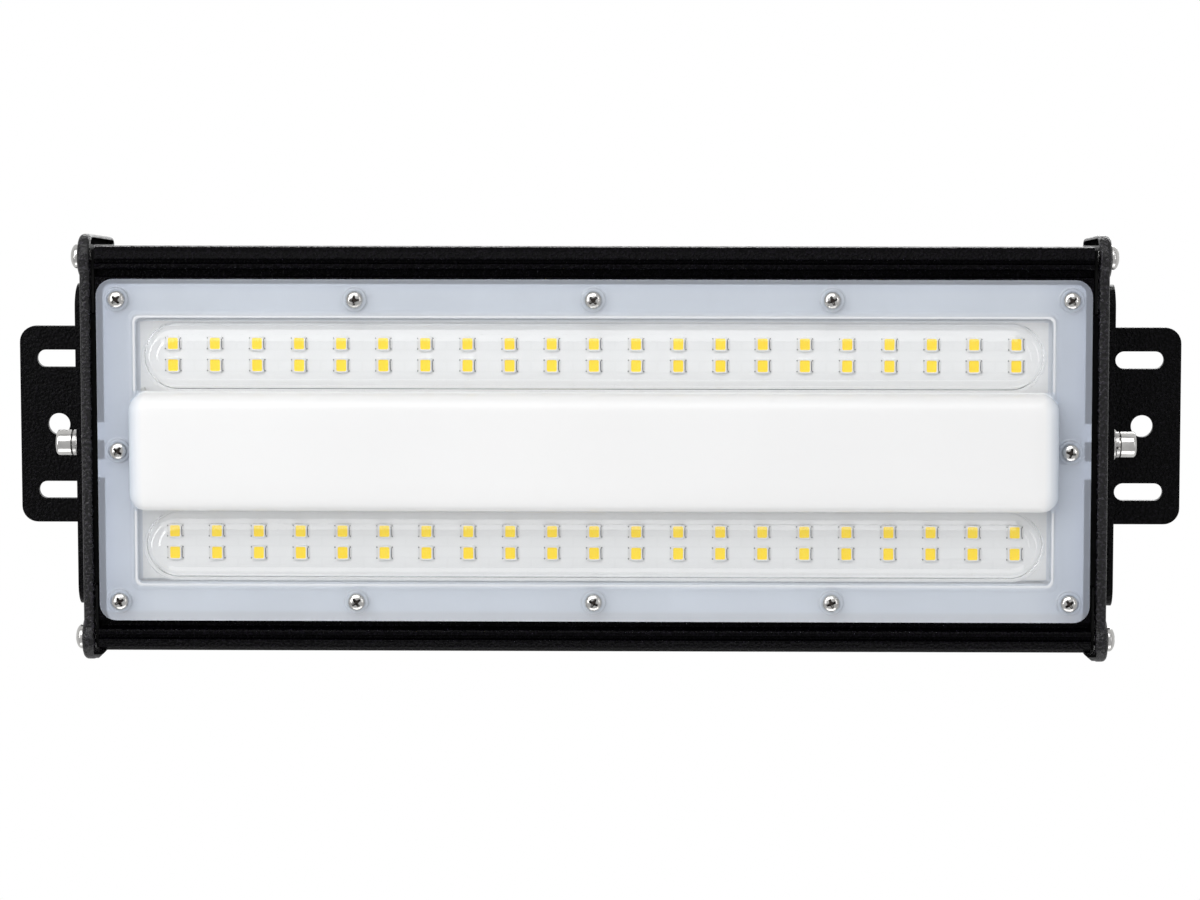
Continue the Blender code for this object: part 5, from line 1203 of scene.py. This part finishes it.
def build_screws():
    """Cover screws and end cap screws."""
    head = moved(pan_head(2.8, 1.9, 1.5, 8.3, 1.75), Matrix.Rotation(math.pi, 4, "X"))
    places = [(*place, FACE - 0.3) for place in cover_screw_places()]
    names = ["lens_screw_%02d" % index for index in range(1, 13)]
    mesh = scattered(head, places, (0.0, 0.0, 1.0), 5)
    add_piece("cover_screws", mesh, "screw_steel", "lamp", names, 30)
    for label, side in SIDES.items():
        places = [
            (side * (seat + 0.3), sign * across, FACE + depth) for sign in SIGNS
            for seat, (across, depth) in ((CAP_RAISED, END_SCREW), (CAP_PLATE, REAR_SCREW))]
        names = ["%s_cap_screw_%d" % (label, index) for index in range(1, 5)]
        mesh = scattered(moved(case_screw(18.0), outward(side)), places, (1.0, 0.0, 0.0), 11)
        add_piece(label + "_cap_screws", mesh, "screw_steel", "lamp", names, 30)


def washer(outer, inner, height):
    """Flat washer about Z with softened rims."""
    return plate([circle((0, 0), outer, 48), circle((0, 0), inner, 40)], 0, height, "Z", 0.12, 1)


def build_pivots():
    """Pivot bolts with flat and spring washers, and lock screws with theirs, each on its seat."""
    coil = grown("coil", "washer_steel", Radius=3.5, Turns=0.965, Lift=0.25, Wire_Width=1.5,
                 Wire_Height=1.05)
    coil = moved(weld(coil), shift(z=0.55))
    stack = {
        "pivot_washer": (washer(5.0, 2.8, 0.9), WASHER_SEAT, PIVOT_DEPTH, "washer_steel"),
        "pivot_spring_washer": (coil, 171.4, PIVOT_DEPTH, "washer_steel"),
        "pivot_bolt": (socket_head(13.0), 172.9, PIVOT_DEPTH, "bolt_steel"),
        "lock_washer": (washer(4.2, 2.3, 0.8), WASHER_SEAT, LOCK_DEPTH, "washer_steel"),
        "lock_screw": (case_screw(8.8), 171.5, LOCK_DEPTH, "bolt_steel"),
    }
    for kind, (mesh, seat, depth, finish) in stack.items():
        for label, side in SIDES.items():
            name = "%s_%s" % (label, kind)
            placed = moved(mesh, outward(side), shift(side * seat, 0, FACE + depth))
            add_piece(name + "_piece", placed, finish, "lamp", [name], 30)


# Gland and breather

def hexagon_nut(low, high, bore):
    """Hexagonal bar about Z with turned chamfers at both ends and a bore."""
    corner = 20.5 / math.sqrt(3)
    reach = corner + 0.1
    cone = turned([
        (0, high + 0.01), (reach - 1.2, high + 0.01), (reach, high - 0.7),
        (reach, low + 0.7), (reach - 1.2, low - 0.01), (0, low - 0.01)], 48)
    bar = shaped(rod((0, 0), corner, low, high, steps=6), ("INTERSECT", cone))
    return shaped(bar, ("DIFFERENCE", rod((0, 0), bore, low - 1, high + 1)))


def build_gland():
    """Cable gland: hexagon body with its thread, lock nut, seal and ribbed dome nut."""
    bore = 4.2
    thread = [(bore, -7.8), (7.6, -7.8)]
    for index in range(9):
        thread += [(8.0, index * 0.8 - 7.5), (7.45, index * 0.8 - 7.1)]
    thread += [(7.6, 0.2), (7.6, 5.0), (7.0, 5.0), (7.0, 12.2), (bore, 12.2), (bore, -7.8)]
    nut = hexagon_nut(CHANNEL_SEAT, CHANNEL_SEAT + 5.0, 7.3)
    body = gathered([nut, turned(lifted(thread, CHANNEL_SEAT), 48)])
    lock = hexagon_nut(FACE + 30.2, FACE + 33.7, 8.3)
    seal = turned(lifted([
        (bore, 15.3), (6.6, 15.3), (7.0, 14.9), (7.0, 12.5), (bore, 12.5), (bore, 15.3),
    ], CHANNEL_SEAT))
    low, roof, top = 5.3, 15.6, 17.4
    dome = turned(lifted([
        (bore, top), (7.6, top), (8.5, top - 0.35), (9.3, top - 1.3), (9.6, roof - 0.8),
        (9.6, low + 0.4), (9.3, low), (7.3, low), (7.3, roof), (bore, roof), (bore, top),
    ], CHANNEL_SEAT), 60)
    rib = block((9.2, -0.55, CHANNEL_SEAT + low + 0.3), (10.15, 0.55, CHANNEL_SEAT + roof - 1.2))
    ribs = grown("round", "nylon", piece=softened(rib, 0.25), Count=18)
    for name, mesh, finish, node in (
            ("gland_hexagon", body, "nylon", "gland_body"),
            ("gland_lock_ring", lock, "nylon", "gland_locknut"),
            ("gland_rubber_seal", seal, "rubber", "gland_seal"),
            ("gland_dome_nut", gathered([dome, ribs]), "nylon", "gland_nut")):
        add_piece(name, moved(mesh, shift(GLAND_X)), finish, "lamp", [node], 30)


def build_breather():
    """Breather plug beside the gland, with slits round its cap."""
    plug = turned(lifted([
        (0, 4.8), (6.2, 4.8), (7.1, 4.4), (7.45, 3.6), (7.45, 0.3), (7.2, 0), (5.7, 0),
        (5.7, -4.3), (0, -4.3)], CHANNEL_SEAT), 48)
    slit = block((6.6, -0.7, CHANNEL_SEAT + 1.0), (9.0, 0.7, CHANNEL_SEAT + 2.6))
    plug = shaped(plug, ("DIFFERENCE", grown("round", "nylon", piece=slit, Count=10)))
    add_piece("breather_cap", moved(plug, shift(VENT_X)), "nylon", "lamp", ["breather_plug"], 30)


# CAD nodes that stay as they are, with a material of their own
KEPT_NODES = {
    "upper_thermal_pad": "pad", "lower_thermal_pad": "pad", "driver_tray": "film",
    "driver_board": "circuit", "driver_screw_1": "screw_steel", "driver_screw_2": "screw_steel",
    "transformer": "tape", "input_capacitor": "sleeve", "output_capacitor": "sleeve",
    "choke": "ferrite", "terminal_block": "terminal", "upper_led_lead": "lead",
    "lower_led_lead": "lead", "left_end_gasket": "rubber", "right_end_gasket": "rubber",
}


# Camera

def make_camera():
    """Camera at the photograph's place below the light, a little towards its upper right."""
    data = bpy.data.cameras.new("camera")
    data.lens = 101.05
    data.shift_x = -0.04
    data.shift_y = -0.16
    data.clip_start = 0.01
    data.clip_end = 50
    camera = held(data, "camera")
    lean = Vector((-0.083, -0.0149, -0.0007))
    turn = Matrix.Rotation(lean.length, 4, lean.normalized()) @ Matrix.Rotation(math.pi, 4, "X")
    camera.matrix_world = shift(0.0339, -0.1534, -1.1518) @ turn
    bpy.context.scene.camera = camera


# Studio

# Place and size in metres, and power in watts
LAMPS = {
    "lamp_upper": ((-0.3, -1.0, -1.05), (1.8, 0.9), 12),
    "lamp_lower": ((0.1, 1.35, -0.5), (1.8, 0.7), 6.8),
    "lamp_left": ((-1.1, -0.2, -1.1), (0.9, 0.2), 3.8),
    "lamp_right": ((1.2, -0.2, -1.15), (0.9, 0.1), 1.5),
    "lamp_above": ((0.3, -0.8, 1.6), (1.6, 1.2), 22),
}


def make_lamps():
    """Large soft lamps that face the light."""
    target = Vector((0, 0, -0.05))
    for name, (place, size, power) in LAMPS.items():
        data = bpy.data.lights.new(name, "AREA")
        data.shape = "RECTANGLE"
        data.size, data.size_y = size
        data.energy = power
        lamp = held(data, name)
        lamp.visible_camera = False
        lamp.location = place
        lamp.rotation_euler = (target - Vector(place)).to_track_quat("-Z", "Y").to_euler()


def make_floor():
    """Pale floor far below the light, which glows a little for the camera alone."""
    reach, top = 60000, -3300
    slab = block((-reach, -reach, top - 50), (reach, reach, top))
    floor = held(moved(slab, Matrix.Scale(MM, 4)), "studio_floor")
    pale = plain_plastic("pale_floor", (0.78, 0.78, 0.79), 0.7, 30.0, 0.2, 0.03)
    tree = pale.node_tree
    shader = tree.nodes["Principled BSDF"]
    shader.inputs["Emission Color"].default_value = (1, 1, 1, 1)
    path = put(tree, "ShaderNodeLightPath").outputs
    glow = maths(tree, "MULTIPLY", path["Is Camera Ray"], 0.5)
    tree.links.new(glow, shader.inputs["Emission Strength"])
    floor.data.materials.append(pale)


def make_world():
    """White surroundings, dimmer as a light on the object than as a background."""
    world = bpy.data.worlds.new("studio")
    bpy.context.scene.world = world
    world.use_nodes = True
    tree = world.node_tree
    path = put(tree, "ShaderNodeLightPath").outputs
    dimmed = maths(tree, "MULTIPLY", path["Is Glossy Ray"], 0.2)
    seen = maths(tree, "MAXIMUM", path["Is Camera Ray"], dimmed)
    seen = maths(tree, "MAXIMUM", seen, path["Is Transmission Ray"])
    back = tree.nodes["Background"]
    back.inputs["Color"].default_value = (1, 1, 1, 1)
    tree.links.new(ranged(tree, seen, 0.55, 1.0, 0.0, 1.0), back.inputs["Strength"])


make_camera()
build_body()
build_cover()
build_gasket()
build_led_boards()
build_end_caps()
build_brackets()
build_screws()
build_pivots()
build_gland()
build_breather()
for node_name, node_finish in KEPT_NODES.items():
    coated(NODES[node_name].data, [node_finish])
make_floor()
make_world()
make_lamps()
bpy.context.scene.view_settings.view_transform = "Standard"
